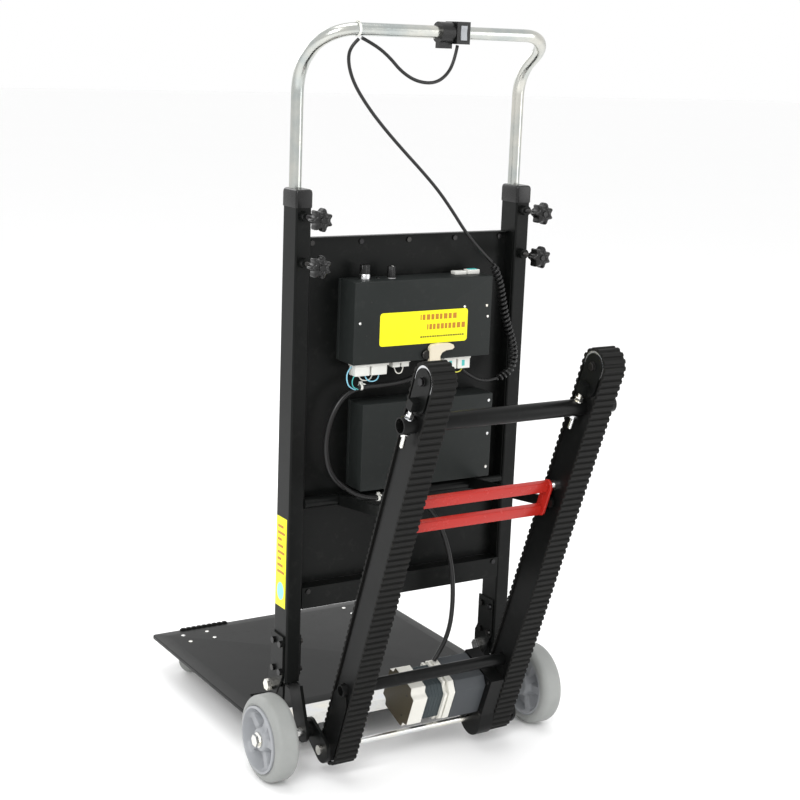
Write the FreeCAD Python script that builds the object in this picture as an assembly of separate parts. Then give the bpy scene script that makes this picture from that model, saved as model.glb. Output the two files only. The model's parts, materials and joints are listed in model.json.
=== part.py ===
import FreeCAD, Part
import math
import os

# Powered stair-climbing hand truck.  Millimetres.  +Z up, +Y towards the
# operator (the crawlers' side), -Y towards the load (the toe plate's side).
# Everything is drawn from the uprights' rear face, the floor and the middle
# plane, and is moved back by REAR_FACE_Y when written.

V = FreeCAD.Vector

# ---------------------------------------------------------------- dimensions
REAR_FACE_Y = 87.2          # uprights' rear face in the part's own frame

# frame
FRAME_HALF = 247.0          # middle plane to the uprights' outer face
TUBE_X = 30.0
TUBE_Y = 50.0
TUBE_WALL = 2.0
UPRIGHT_BOTTOM = 164.5
UPRIGHT_TOP = 1036.8
CAP_TOP = 1068.6
PANEL_Y = -28.0             # back panel's rear face
PANEL_TOP = 983.0
CROSS_LOW = 304.0
CROSS_HIGH = 344.0
UPRIGHT_X = FRAME_HALF - TUBE_X / 2
INNER_X = FRAME_HALF - TUBE_X

# telescoping handle
HANDLE_R = 11.0
HANDLE_WALL = 1.5
HANDLE_X = 232.0
HANDLE_Y = -35.5
HANDLE_FOOT = 700.0
HANDLE_KINK_Z = 1270.0
BAR_Y = 60.0
BAR_Z = 1341.0

# clamp knobs
KNOB_Z = (1023.0, 942.0)
KNOB_Y = 48.0
STUD_R = 4.0

# road wheels
WHEEL_R = 80.0
WHEEL_X = 291.7
WHEEL_HALF = 23.0
HUB_INNER = 26.5            # hub's end towards the frame
HUB_OUTER = 22.5
RIM_R = 62.0
AXLE_Y = 29.7
AXLE_Z = WHEEL_R
AXLE_R = 7.0

# toe plate
TOE_TOP = 77.5
TOE_T = 3.0
TOE_HALF = 276.0
TOE_FRONT = -549.0
TOE_REAR = -79.0
TOE_PIVOT_Y = -45.0
TOE_PIVOT_Z = 149.0
TOE_BOLT_R = 6.0
CASTER_X = 195.0
CASTER_Y = -490.0
CASTER_R = 25.0
CASTER_TRAIL = 16.0
CASTER_TURN = -32.0         # rest angle of the trail about +Z, from +X

# crawlers, drawn upright about the drive shaft and then leaned back
PIVOT_Y = 72.8
PIVOT_Z = 56.7
LEAN = 20.0
CRAWLER_X = 171.4
BELT_HALF = 22.8
BELT_OUT = 32.4
BELT_IN = 26.6
PULLEY_R = 26.2
HEAD_U = 787.5
RAIL_HALF = 19.0
RAIL_V = 25.0
RAIL_WALL = 2.5
RAIL_TOP = 757.0
UPPER_TUBE_U = 706.0
UPPER_TUBE_R = 14.5
LOWER_TUBE_U = 141.0
LOWER_TUBE_R = 11.3
SHAFT_R = 6.0
MOTOR_U = 62.0
MOTOR_V = -30.0
MOTOR_SIDE = 94.0
KEY_X = 108.0

# stay and release lever
STAY_Y = -8.0
STAY_Z = 503.0
STAY_ANGLE = 6.45           # above level, at rest
STAY_LENGTH = 262.0
STAY_X = 140.5
LEVER_U = (537.0, 487.0)
LEVER_V = -6.0

RUN = 0.05                  # radial running clearance
GAP = 0.3                   # between pieces that pass each other


# ------------------------------------------------------------------- helpers
def box(x0, x1, y0, y1, z0, z1):
    return Part.makeBox(x1 - x0, y1 - y0, z1 - z0, V(x0, y0, z0))


def rod(start, end, radius):
    start = V(*start)
    along = V(*end) - start
    return Part.makeCylinder(radius, along.Length, start, along)


def rod_x(x0, x1, y, z, radius):
    return rod((x0, y, z), (x1, y, z), radius)


def tube_x(x0, x1, y, z, outer, inner):
    return rod_x(x0, x1, y, z, outer).cut(rod_x(x0 - 1, x1 + 1, y, z, inner))


def plate_x(outline, x0, x1):
    """A plate across X from an outline of (y, z) points."""
    points = [V(x0, y, z) for y, z in outline]
    face = Part.Face(Part.makePolygon(points + points[:1]))
    return face.extrude(V(x1 - x0, 0, 0))


def link_x(a, b, ra, rb, x0, x1):
    """A flat link across X: two round ends and the straight sides that touch both."""
    ya, za = a
    yb, zb = b
    length = math.hypot(yb - ya, zb - za)
    along = math.atan2(zb - za, yb - ya)
    lift = math.asin((rb - ra) / length)
    outline = []
    for side, (y, z), r in ((1, a, ra), (1, b, rb), (-1, b, rb), (-1, a, ra)):
        turn = along + side * (math.pi / 2 + lift)
        outline.append((y + r * math.cos(turn), z + r * math.sin(turn)))
    web = plate_x(outline, x0, x1)
    ends = rod_x(x0, x1, ya, za, ra).fuse(rod_x(x0, x1, yb, zb, rb))
    return web.fuse(ends).removeSplitter()


def round_upright_edges(shape, radius, least):
    """Round the edges that run along Z and are at least so long."""
    edges = []
    for edge in shape.Edges:
        if len(edge.Vertexes) < 2:
            continue
        run = edge.Vertexes[1].Point - edge.Vertexes[0].Point
        if abs(run.z) > least and abs(run.x) + abs(run.y) < 0.01:
            edges.append(edge)
    return shape.makeFillet(radius, edges)


def mirror(shape):
    return shape.mirror(V(0, 0, 0), V(1, 0, 0))


def both(shape):
    """The piece and its twin on the other side."""
    return [shape, mirror(shape)]


def fuse(first, *others):
    for other in others:
        first = first.fuse(other)
    return first.removeSplitter()


def leaned(shape):
    """Crawler pieces: drawn with u up and v to the rear, turned about the shaft."""
    shape = shape.copy()
    shape.rotate(V(0, 0, 0), V(1, 0, 0), -LEAN)
    shape.translate(V(0, PIVOT_Y, PIVOT_Z))
    return shape


def hexagon_x(x0, x1, y, z, flats):
    r = flats / math.sqrt(3)
    corners = []
    for i in range(6):
        turn = math.radians(60 * i)
        corners.append((y + r * math.cos(turn), z + r * math.sin(turn)))
    return plate_x(corners, x0, x1)


def bent_path(points, radii):
    """Straight runs joined by tangent arcs."""
    points = [V(*p) for p in points]
    edges = []
    last = points[0]
    for i in range(1, len(points) - 1):
        corner = points[i]
        back = (points[i - 1] - corner).normalize()
        ahead = (points[i + 1] - corner).normalize()
        turn = math.pi - back.getAngle(ahead)
        reach = radii[i - 1] * math.tan(turn / 2)
        start = corner + back * reach
        end = corner + ahead * reach
        middle_way = (back + ahead).normalize()
        depth = radii[i - 1] * (1 / math.cos(turn / 2) - 1)
        middle = corner + middle_way * depth
        edges.append(Part.makeLine(last, start))
        edges.append(Part.Arc(start, middle, end).toShape())
        last = end
    edges.append(Part.makeLine(last, points[-1]))
    return Part.Wire(edges)


def sweep(path, radius):
    start = path.Edges[0].Vertexes[0].Point
    ahead = path.Edges[0].Vertexes[1].Point - start
    ring = Part.Wire(Part.makeCircle(radius, start, ahead))
    maker = Part.BRepOffsetAPI.MakePipeShell(path)
    maker.setFrenetMode(True)
    maker.add(ring)
    maker.build()
    maker.makeSolid()
    return maker.shape()


def cord(name, points, diameter):
    """A cord through hand-placed points, with the widest arcs its runs allow."""
    vectors = [V(*p) for p in points]
    radii = []
    for i in range(1, len(vectors) - 1):
        before = vectors[i] - vectors[i - 1]
        after = vectors[i + 1] - vectors[i]
        turn = before.getAngle(after)
        radii.append(0.45 * min(before.Length, after.Length) / math.tan(turn / 2))
    path = bent_path(points, radii)
    solid = sweep(path, diameter / 2)
    section = math.pi * diameter ** 2 / 4
    ratio = solid.Volume / (section * path.Length)
    print("%-12s length %7.1f  least bend %6.1f  volume ratio %.3f"
          % (name, path.Length, min(radii), ratio))
    return solid


def write(name, shapes):
    if not isinstance(shapes, list):
        shapes = [shapes]
    shapes = [s.copy() for s in shapes]
    for shape in shapes:
        shape.translate(V(0, REAR_FACE_Y, 0))
    solids = []
    for shape in shapes:
        solids.extend(shape.Solids)
    out = solids[0] if len(solids) == 1 else Part.makeCompound(solids)
    out.exportStep("parts/%s.step" % name)


os.makedirs("parts", exist_ok=True)


# --------------------------------------------------------------------- frame
def upright():
    x0 = INNER_X
    x1 = FRAME_HALF
    outer = box(x0, x1, -TUBE_Y, 0, UPRIGHT_BOTTOM, UPRIGHT_TOP)
    outer = round_upright_edges(outer, 3.5, 100)
    w = TUBE_WALL
    inner = box(x0 + w, x1 - w, -TUBE_Y + w, -w, UPRIGHT_BOTTOM - 1, UPRIGHT_TOP + 1)
    shape = outer.cut(round_upright_edges(inner, 1.5, 100))
    for z in KNOB_Z:
        shape = shape.fuse(rod((UPRIGHT_X, -0.5, z), (UPRIGHT_X, 13, z), 9))
    for z in KNOB_Z:
        shape = shape.cut(rod((UPRIGHT_X, -10, z), (UPRIGHT_X, 14, z), STUD_R + RUN))
    return shape.removeSplitter()


def cap():
    lip = box(INNER_X - 1.5, FRAME_HALF + 1.5, -TUBE_Y - 1.5, 1.5, UPRIGHT_TOP + 0.05, CAP_TOP)
    lip = round_upright_edges(lip, 4.5, 20)
    w = TUBE_WALL + 0.15
    plug = box(INNER_X + w, FRAME_HALF - w, -TUBE_Y + w, -w, UPRIGHT_TOP - 8, UPRIGHT_TOP + 1)
    plug = round_upright_edges(plug, 1.6, 8)
    bore = rod((HANDLE_X, HANDLE_Y, 1000), (HANDLE_X, HANDLE_Y, 1100), HANDLE_R + RUN)
    return lip.fuse(plug).cut(bore).removeSplitter()


left = upright()
write("upright_left", left)
write("upright_right", mirror(left))
write("upright_caps", both(cap()))

PANEL_HALF = INNER_X - 0.2
panel = box(-PANEL_HALF, PANEL_HALF, PANEL_Y - 1.5, PANEL_Y, CROSS_HIGH + 0.2, PANEL_TOP)
lip = box(-PANEL_HALF, PANEL_HALF, PANEL_Y - 1.5, PANEL_Y + 12, PANEL_TOP - 1.5, PANEL_TOP)
side = box(PANEL_HALF - 1.5, PANEL_HALF, PANEL_Y - 1.5, -4, CROSS_HIGH + 0.2, PANEL_TOP)
panel = fuse(panel, lip, side, mirror(side))
write("back_panel", panel.cut(rod_x(-230, 230, STAY_Y, STAY_Z, 7 + RUN)))

web = box(-PANEL_HALF, PANEL_HALF, -2.5, 0, CROSS_LOW, CROSS_HIGH)
low = box(-PANEL_HALF, PANEL_HALF, -30, -1, CROSS_LOW, CROSS_LOW + 2.5)
high = box(-PANEL_HALF, PANEL_HALF, -30, -1, CROSS_HIGH - 2.5, CROSS_HIGH)
end = box(PANEL_HALF - 2.5, PANEL_HALF, -30, -1, CROSS_LOW, CROSS_HIGH)
write("crossmember", fuse(web, low, high, end, mirror(end)))

# the fixed rod that carries the stay, thick where it shows on the left
pin = rod_x(-PANEL_HALF, PANEL_HALF, STAY_Y, STAY_Z, 7)
collar = rod_x(STAY_X + 6, PANEL_HALF - 1.6, STAY_Y, STAY_Z, 10)
write("stay_rod", fuse(pin, collar))

# wheel brackets: a strap for the axle, a link to the crawlers' shaft, a spacer
strap = link_x((AXLE_Y, AXLE_Z), (-4, 168), 22, 22, 222, 228)
head = plate_x([(-47, 168), (10, 168), (10, 205), (-47, 205)], 222, 228)
trim = box(200, 250, -47.5, 60, 150, 240)
strap = strap.common(box(200, 250, -47.5, 60, 0, 190)).fuse(head.common(trim))
neck = box(222, 228, -TUBE_Y + TUBE_WALL + 0.2, -TUBE_WALL - 0.2, 162, 205)
strap = strap.cut(box(200, 250, -TUBE_WALL - 0.2, 60, UPRIGHT_BOTTOM - 0.2, 240))
strap = strap.cut(box(200, 250, -60, -TUBE_Y + TUBE_WALL + 0.2, UPRIGHT_BOTTOM - 0.2, 240))
strap = strap.fuse(neck)
link = link_x((AXLE_Y, AXLE_Z), (PIVOT_Y, PIVOT_Z), 22, 25, 203, 209)
spacer = rod_x(208.9, 222.1, AXLE_Y, AXLE_Z, 14)
bracket = fuse(strap, link, spacer)
bracket = bracket.cut(rod_x(190, 240, AXLE_Y, AXLE_Z, AXLE_R + RUN))
bracket = bracket.cut(rod_x(190, 212, PIVOT_Y, PIVOT_Z, SHAFT_R + RUN))
write("wheel_brackets", both(bracket))

hub_face = WHEEL_X + HUB_OUTER
axle = rod_x(199, hub_face + 8, AXLE_Y, AXLE_Z, AXLE_R)
nuts = [hexagon_x(195, 202.9, AXLE_Y, AXLE_Z, 20)]
nuts.append(hexagon_x(hub_face + 2.2, hub_face + 9.5, AXLE_Y, AXLE_Z, 20))
nuts.append(rod_x(hub_face + GAP, hub_face + 2.3, AXLE_Y, AXLE_Z, 14))
nuts.append(rod_x(228.1, WHEEL_X - HUB_INNER - GAP, AXLE_Y, AXLE_Z, 10))
write("axle_bolts", both(fuse(axle, *nuts)))


# toe plate brackets on both sides of each upright's foot
def toe_bracket(x0, x1):
    outline = [(-52, 253), (-6, 253), (-6, 176), (-30, 134), (-60, 134), (-60, 176), (-52, 190)]
    plate = plate_x(outline, x0, x1)
    return plate.cut(rod_x(x0 - 1, x1 + 1, TOE_PIVOT_Y, TOE_PIVOT_Z, TOE_BOLT_R + RUN))


outer_plate = toe_bracket(FRAME_HALF + 0.05, FRAME_HALF + 4)
inner_plate = toe_bracket(INNER_X - 4, INNER_X - 0.05)
write("toe_brackets", both(outer_plate) + both(inner_plate))

screws = []
for x in (-200, -100, 0, 100, 200):
    screws.append(rod((x, PANEL_Y, 972), (x, PANEL_Y + 2.6, 972), 4.5))
for x in (-205, 205):
    screws.append(rod((x, 0.0, 337), (x, 2.6, 337), 4.5))
for y in (-40, -13):
    for z in (238, 184):
        outer = rod_x(FRAME_HALF + 4, FRAME_HALF + 8.5, y, z, 6)
        inner = rod_x(INNER_X - 8.5, INNER_X - 4, y, z, 6)
        screws += both(outer) + both(inner)
write("frame_screws", screws)

toe_bolt = rod_x(INNER_X - 10, FRAME_HALF + 10, TOE_PIVOT_Y, TOE_PIVOT_Z, TOE_BOLT_R)
toe_head = hexagon_x(FRAME_HALF + 4.1, FRAME_HALF + 17, TOE_PIVOT_Y, TOE_PIVOT_Z, 19)
toe_nut = hexagon_x(INNER_X - 14, INNER_X - 4.1, TOE_PIVOT_Y, TOE_PIVOT_Z, 19)
write("toe_bolts", both(fuse(toe_bolt, toe_head, toe_nut)))


def shell(x0, x1, y0, y1, z0, z1, wall):
    inner = box(x0 + wall, x1 - wall, y0 + wall, y1 - wall, z0 + wall, z1 - wall)
    return box(x0, x1, y0, y1, z0, z1).cut(inner)


BATTERY = (-164.0, 118.0, PANEL_Y + 0.05, 29.6, 523.0, 684.6)
CONTROL = (-146.0, 146.0, PANEL_Y + 0.05, 36.5, 759.8, 908.3)
write("battery_case", shell(*BATTERY, 2.0))
cells = [box(-161.5, -24, -25.5, 27, 525.5, 640), box(-22, 115.5, -25.5, 27, 525.5, 640)]
write("battery_cells", cells)

case = shell(*CONTROL, 2.0)
case = case.cut(rod((KEY_X, 2, 900), (KEY_X, 2, 920), 3 + RUN))
case = case.cut(rod((53, 2, 900), (53, 2, 920), 3 + RUN))
write("controller_case", case)

collar = rod((KEY_X, 2, CONTROL[5]), (KEY_X, 2, CONTROL[5] + 10), 10.5)
collar = collar.cut(rod((KEY_X, 2, CONTROL[5] - 1), (KEY_X, 2, CONTROL[5] + 12), 3 + RUN))
write("key_collar", collar)
key = rod((KEY_X, 2, CONTROL[5] - 6), (KEY_X, 2, CONTROL[5] + 11), 3)
key = fuse(key, rod((KEY_X, 2, CONTROL[5] + 10 + GAP), (KEY_X, 2, CONTROL[5] + 26), 9.5))
write("key_switch", key)

dial = rod((53, 2, CONTROL[5] - 6), (53, 2, CONTROL[5] + 3), 3)
dial = fuse(dial, rod((53, 2, CONTROL[5] + GAP), (53, 2, CONTROL[5] + 22), 8))
for i in range(12):
    turn = math.radians(30 * i)
    x = 53 + 8.4 * math.cos(turn)
    y = 2 + 8.4 * math.sin(turn)
    dial = dial.cut(rod((x, y, CONTROL[5] + 5), (x, y, CONTROL[5] + 23), 1.3))
write("speed_dial", dial)

connectors = [
    box(66, 138, 4, 30, 737, 759.7),
    box(20, 57, 8, 26, 748, 759.7),
    box(-111, -52, 8, 28, 735.5, 759.7),
    box(-136, -78, -8, 12, 908.4, 917),
]
latch = box(-30, -10, 36.6, 50, 757, 790).fuse(box(-62, -10, 36.6, 50, 775, 790))
connectors.append(latch.removeSplitter())
write("connectors", connectors)


# -------------------------------------------------------------------- handle
def handle_path():
    points = [
        (HANDLE_X, HANDLE_Y, HANDLE_FOOT),
        (HANDLE_X, HANDLE_Y, HANDLE_KINK_Z),
        (HANDLE_X, BAR_Y, BAR_Z),
        (-HANDLE_X, BAR_Y, BAR_Z),
        (-HANDLE_X, HANDLE_Y, HANDLE_KINK_Z),
        (-HANDLE_X, HANDLE_Y, HANDLE_FOOT),
    ]
    return bent_path(points, [80, 60, 60, 80])


path = handle_path()
handle = sweep(path, HANDLE_R).cut(sweep(path, HANDLE_R - HANDLE_WALL))
write("handle_tube", handle)

bar_hole = rod_x(-60, 60, BAR_Y, BAR_Z, HANDLE_R + 0.02)
clamp = rod_x(-14, 12.5, BAR_Y, BAR_Z, 18)
ear = box(-14, 12.5, BAR_Y - 6, BAR_Y + 6, BAR_Z - 27, BAR_Z - 12)
write("switch_clamp", fuse(clamp, ear).cut(bar_hole))

house = box(-42, -15, BAR_Y - 19, BAR_Y + 19, BAR_Z - 19, BAR_Z + 19)
pocket = box(-35, -22, BAR_Y + 12.4, BAR_Y + 20, BAR_Z - 13.4, BAR_Z + 13.4)
pin_hole = rod_x(-37, -20, BAR_Y + 17, BAR_Z, 1.2 + RUN)
write("switch_housing", house.cut(bar_hole).cut(pocket).cut(pin_hole))
rocker = box(-34.5, -22.5, BAR_Y + 14.6, BAR_Y + 21, BAR_Z - 12.4, BAR_Z + 12.4)
rocker = rocker.cut(rod_x(-40, -20, BAR_Y + 46, BAR_Z, 26))
rocker = fuse(rocker, rod_x(-36.5, -20.5, BAR_Y + 17, BAR_Z, 1.2))
write("switch_rocker", rocker)


# --------------------------------------------------------------- clamp knobs
def knob(x, z):
    stud = rod((x, HANDLE_Y + HANDLE_R + GAP, z), (x, KNOB_Y + 6, z), STUD_R)
    body = rod((x, KNOB_Y, z), (x, KNOB_Y + 24, z), 15)
    neck = rod((x, KNOB_Y - 12, z), (x, KNOB_Y + 2, z), 9)
    lobes = []
    for i in range(7):
        turn = 2 * math.pi * i / 7
        lx = x + 14.5 * math.cos(turn)
        lz = z + 14.5 * math.sin(turn)
        lobes.append(rod((lx, KNOB_Y + 3, lz), (lx, KNOB_Y + 21, lz), 6))
    return fuse(body, stud, neck, *lobes)


for side, x in (("left", HANDLE_X), ("right", -HANDLE_X)):
    for level, z in (("upper", KNOB_Z[0]), ("lower", KNOB_Z[1])):
        write("knob_%s_%s" % (side, level), knob(x, z))


# --------------------------------------------------------------- road wheels
def ring_x(outline):
    """Turn an outline of (x, radius) points about the X axis."""
    points = [V(x, 0, r) for x, r in outline]
    face = Part.Face(Part.makePolygon(points + points[:1]))
    return face.revolve(V(0, 0, 0), V(1, 0, 0), 360)


def tyre():
    half = WHEEL_HALF
    outline = [(-half + 1, RIM_R), (-half, RIM_R + 3), (-half, WHEEL_R - 13)]
    for i in range(1, 7):
        turn = math.radians(15 * i)
        outline.append((-half + 13 * (1 - math.cos(turn)), WHEEL_R - 13 + 13 * math.sin(turn)))
    outline += [(-x, r) for x, r in reversed(outline)]
    return ring_x(outline)


def hub():
    rim = ring_x([(-21, 53), (-22, RIM_R - 0.05), (27, RIM_R - 0.05), (27, 57), (22, 53)])
    core = rod_x(-HUB_INNER, HUB_OUTER, 0, 0, 21)
    core = core.fuse(ring_x([(-4, 15), (-4, 55), (4, 55), (4, 15)]))
    for i in range(5):
        spoke = box(-15, 15, -5, 5, 15, 55)
        spoke.rotate(V(0, 0, 0), V(1, 0, 0), 72 * i)
        core = core.fuse(spoke)
    for i in range(5):
        window = rod_x(-30, 30, 0, 37, 9)
        window.rotate(V(0, 0, 0), V(1, 0, 0), 72 * i + 36)
        core = core.cut(window)
    return core.fuse(rim).cut(rod_x(-60, 60, 0, 0, AXLE_R + RUN)).removeSplitter()


for side, sign in (("left", 1), ("right", -1)):
    for name, piece in (("tyre", tyre()), ("hub", hub())):
        if sign < 0:
            piece = mirror(piece)
        piece.translate(V(sign * WHEEL_X, AXLE_Y, AXLE_Z))
        write("wheel_%s_%s" % (name, side), piece)


# ----------------------------------------------------------------- toe plate
top = box(-TOE_HALF, TOE_HALF, TOE_FRONT, TOE_REAR, TOE_TOP - TOE_T, TOE_TOP)
rim_side = box(TOE_HALF - 3, TOE_HALF, TOE_FRONT, TOE_REAR, TOE_TOP - 10, TOE_TOP)
rim_front = box(-TOE_HALF, TOE_HALF, TOE_FRONT, TOE_FRONT + 3, TOE_TOP - 10, TOE_TOP)
cheek_line = [
    (TOE_PIVOT_Y - 12, TOE_PIVOT_Z), (TOE_PIVOT_Y - 12, TOE_PIVOT_Z - 20),
    (-170, TOE_TOP), (-170, TOE_TOP - 1), (TOE_PIVOT_Y + 9, TOE_TOP - 1),
    (TOE_PIVOT_Y + 12, TOE_PIVOT_Z - 20), (TOE_PIVOT_Y + 12, TOE_PIVOT_Z),
]
cheek = plate_x(cheek_line, 229.5, 234.5)
cheek = cheek.fuse(rod_x(229.5, 234.5, TOE_PIVOT_Y, TOE_PIVOT_Z, 12))
sleeve = rod_x(INNER_X + 0.5, FRAME_HALF - 0.5, TOE_PIVOT_Y, TOE_PIVOT_Z, 9)
cheek = fuse(cheek, sleeve)
cheek = cheek.cut(rod_x(200, 260, TOE_PIVOT_Y, TOE_PIVOT_Z, TOE_BOLT_R + RUN))
toe = fuse(top, rim_side, mirror(rim_side), rim_front, cheek, mirror(cheek))
write("toe_plate", toe)

back = box(-229, 229, TOE_REAR + 0.1, -34, TOE_TOP - 22, TOE_TOP - 1.2)
back = back.cut(box(-230, 230, TOE_REAR - 1, -36.5, TOE_TOP - 22.5, TOE_TOP - 3.7))
write("toe_rear_channel", back)

rivets = []
for sx in (-1, 1):
    for dx in (-27.5, 27.5):
        for dy in (-19, 19):
            x = sx * CASTER_X + dx
            y = CASTER_Y + dy
            rivets.append(rod((x, y, TOE_TOP), (x, y, TOE_TOP + 2.2), 4.5))
write("toe_rivets", rivets)
write("toe_nose", box(104, 214, TOE_FRONT + 0.5, TOE_FRONT + 9, TOE_TOP + 0.05, TOE_TOP + 2.5))

UNDER = TOE_TOP - TOE_T
for_caster = []
mount = box(-34, 34, -25, 25, UNDER - 2.6, UNDER - 0.05)
mount = mount.fuse(rod((0, 0, UNDER - 12), (0, 0, UNDER - 2), 5)).removeSplitter()
for sx in (-1, 1):
    piece = mount.copy()
    piece.translate(V(sx * CASTER_X, CASTER_Y, 0))
    for_caster.append(piece)
write("caster_mounts", for_caster)


def caster_fork():
    trail = CASTER_TRAIL
    crown = rod((0, 0, UNDER - 10.5), (0, 0, UNDER - 2.9), 21)
    crown = crown.cut(rod((0, 0, UNDER - 14), (0, 0, UNDER), 5 + RUN))
    leg_line = [(-19, UNDER - 10.5), (19, UNDER - 10.5), (trail + 8, CASTER_R - 8), (trail - 8, CASTER_R - 8)]
    points = [V(x, 12.5, z) for x, z in leg_line]
    leg = Part.Face(Part.makePolygon(points + points[:1])).extrude(V(0, 2.5, 0))
    deck = box(-19, 19, -15, 15, UNDER - 10.5, UNDER - 8)
    deck = deck.cut(rod((0, 0, UNDER - 14), (0, 0, UNDER), 5 + RUN))
    twin = leg.mirror(V(0, 0, 0), V(0, 1, 0))
    axle = rod((trail, -16.5, CASTER_R), (trail, 16.5, CASTER_R), 4)
    return fuse(crown, deck, leg, twin, axle)


def caster_wheel():
    wheel = rod((CASTER_TRAIL, -10, CASTER_R), (CASTER_TRAIL, 10, CASTER_R), CASTER_R)
    wheel = wheel.makeFillet(3, [e for e in wheel.Edges if e.Length > 100 and len(e.Vertexes) == 1])
    return wheel.cut(rod((CASTER_TRAIL, -20, CASTER_R), (CASTER_TRAIL, 20, CASTER_R), 4 + RUN))


for side, sx in (("left", 1), ("right", -1)):
    for name, piece in (("fork", caster_fork()), ("wheel", caster_wheel())):
        piece.rotate(V(0, 0, 0), V(0, 0, 1), CASTER_TURN)
        piece.translate(V(sx * CASTER_X, CASTER_Y, 0))
        write("caster_%s_%s" % (name, side), piece)


# ------------------------------------------------------------------ crawlers
# Drawn in (x, v, u): v to the rear, u up along the rail from the drive shaft.
def rail(cx):
    outer = box(cx - RAIL_HALF, cx + RAIL_HALF, -RAIL_V, RAIL_V, 32, RAIL_TOP)
    w = RAIL_WALL
    inner = box(cx - RAIL_HALF + w, cx + RAIL_HALF - w, -RAIL_V + w, RAIL_V - w, 31, RAIL_TOP + 1)
    shape = outer.cut(inner)
    for side in (-1, 1):
        near = cx + side * RAIL_HALF
        far = cx + side * (RAIL_HALF + 4)
        low = min(near, far)
        foot = link_x((0, 0), (0, 112), 23.5, 23.5, low, low + 4)
        shape = shape.fuse(foot)
    shape = shape.cut(rod_x(cx - 40, cx + 40, 0, 0, SHAFT_R + RUN))
    shape = shape.cut(rod_x(cx - 40, cx + 40, 0, UPPER_TUBE_U, UPPER_TUBE_R + RUN))
    shape = shape.cut(rod_x(cx - 40, cx + 40, 0, LOWER_TUBE_U, LOWER_TUBE_R + RUN))
    return shape.removeSplitter()


write("rail_left", leaned(rail(CRAWLER_X)))
write("rail_right", leaned(rail(-CRAWLER_X)))

STUD_X = CRAWLER_X + 31.6
INNER_STUD_X = CRAWLER_X - 31.6
upper = tube_x(-217, 217, 0, UPPER_TUBE_U, UPPER_TUBE_R, UPPER_TUBE_R - 2.5)
for x in (STUD_X, INNER_STUD_X, -INNER_STUD_X, -STUD_X):
    upper = upper.cut(rod((x, 0, UPPER_TUBE_U - 20), (x, 0, UPPER_TUBE_U + 20), 4.2))
lower = tube_x(-201, 201, 0, LOWER_TUBE_U, LOWER_TUBE_R, LOWER_TUBE_R - 2)
write("cross_tubes", [leaned(upper), leaned(lower)])


def head_fork(cx):
    """The two sliding cheeks, their axle and the lugs that the studs hold."""
    pieces = []
    for side in (-1, 1):
        near = cx + side * (RAIL_HALF + GAP)
        far = cx + side * (RAIL_HALF + 4.3)
        low = min(near, far)
        pieces.append(link_x((0, HEAD_U), (0, RAIL_TOP - 6), 22, 22, low, low + 4))
        lug_near = cx + side * (RAIL_HALF + 4.2)
        lug_far = cx + side * (RAIL_HALF + 19)
        lug_low = min(lug_near, lug_far)
        pieces.append(box(lug_low, lug_low + 14.8, -8, 8, 736, 754))
    pieces.append(rod_x(cx - RAIL_HALF - 8, cx + RAIL_HALF + 8, 0, HEAD_U, SHAFT_R))
    return fuse(*pieces)


write("head_forks", [leaned(head_fork(CRAWLER_X)), leaned(head_fork(-CRAWLER_X))])

hardware = []
for x in (STUD_X, INNER_STUD_X, -INNER_STUD_X, -STUD_X):
    stud = rod((x, 0, 664), (x, 0, 735.9), 4)
    for u0 in (UPPER_TUBE_U + UPPER_TUBE_R, UPPER_TUBE_U - UPPER_TUBE_R - 7.2):
        stud = stud.fuse(rod((x, 0, u0 + 0.1), (x, 0, u0 + 7.1), 7.5))
    hardware.append(leaned(stud.removeSplitter()))
for side in (-1, 1):
    low = min(side * 134.6, side * (CRAWLER_X - RAIL_HALF - 0.05))
    high = max(side * 134.6, side * (CRAWLER_X - RAIL_HALF - 0.05))
    lever_pin = rod_x(low, high, LEVER_V, LEVER_U[0], 5)
    boss_low = min(side * 146.5, side * (CRAWLER_X - RAIL_HALF - 0.05))
    boss = rod_x(boss_low, boss_low + 5.8, LEVER_V, LEVER_U[0], 9)
    hardware.append(leaned(fuse(lever_pin, boss)))
write("crawler_hardware", hardware)


def stadium(radius, x0, x1):
    return link_x((0, 0), (0, HEAD_U), radius, radius, x0, x1)


def belt(cx):
    x0 = cx - BELT_HALF
    x1 = cx + BELT_HALF
    body = stadium(BELT_OUT - 2.4, x0, x1)
    body = body.cut(stadium(BELT_IN, x0 - 1, x1 + 1))
    ribs = []
    pitch = 15.0
    count = int(HEAD_U / pitch)
    for i in range(count + 1):
        u = (HEAD_U - count * pitch) / 2 + i * pitch
        for side in (-1, 1):
            low = min(side * (BELT_OUT - 2.6), side * BELT_OUT)
            ribs.append(box(x0, x1, low, low + 2.6, u - 3.5, u + 3.5))
    for centre, first in ((0, 180), (HEAD_U, 0)):
        for i in range(1, 6):
            rib = box(x0, x1, BELT_OUT - 2.7, BELT_OUT, -3.5, 3.5)
            rib.rotate(V(0, 0, 0), V(1, 0, 0), first + 30 * i)
            rib.translate(V(0, 0, centre))
            ribs.append(rib)
    return body.fuse(ribs).removeSplitter()


write("belt_left", leaned(belt(CRAWLER_X)))
write("belt_right", leaned(belt(-CRAWLER_X)))


def pulley(cx, u, bore):
    half = RAIL_HALF - GAP
    return tube_x(cx - half, cx + half, 0, u, PULLEY_R, bore)


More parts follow.
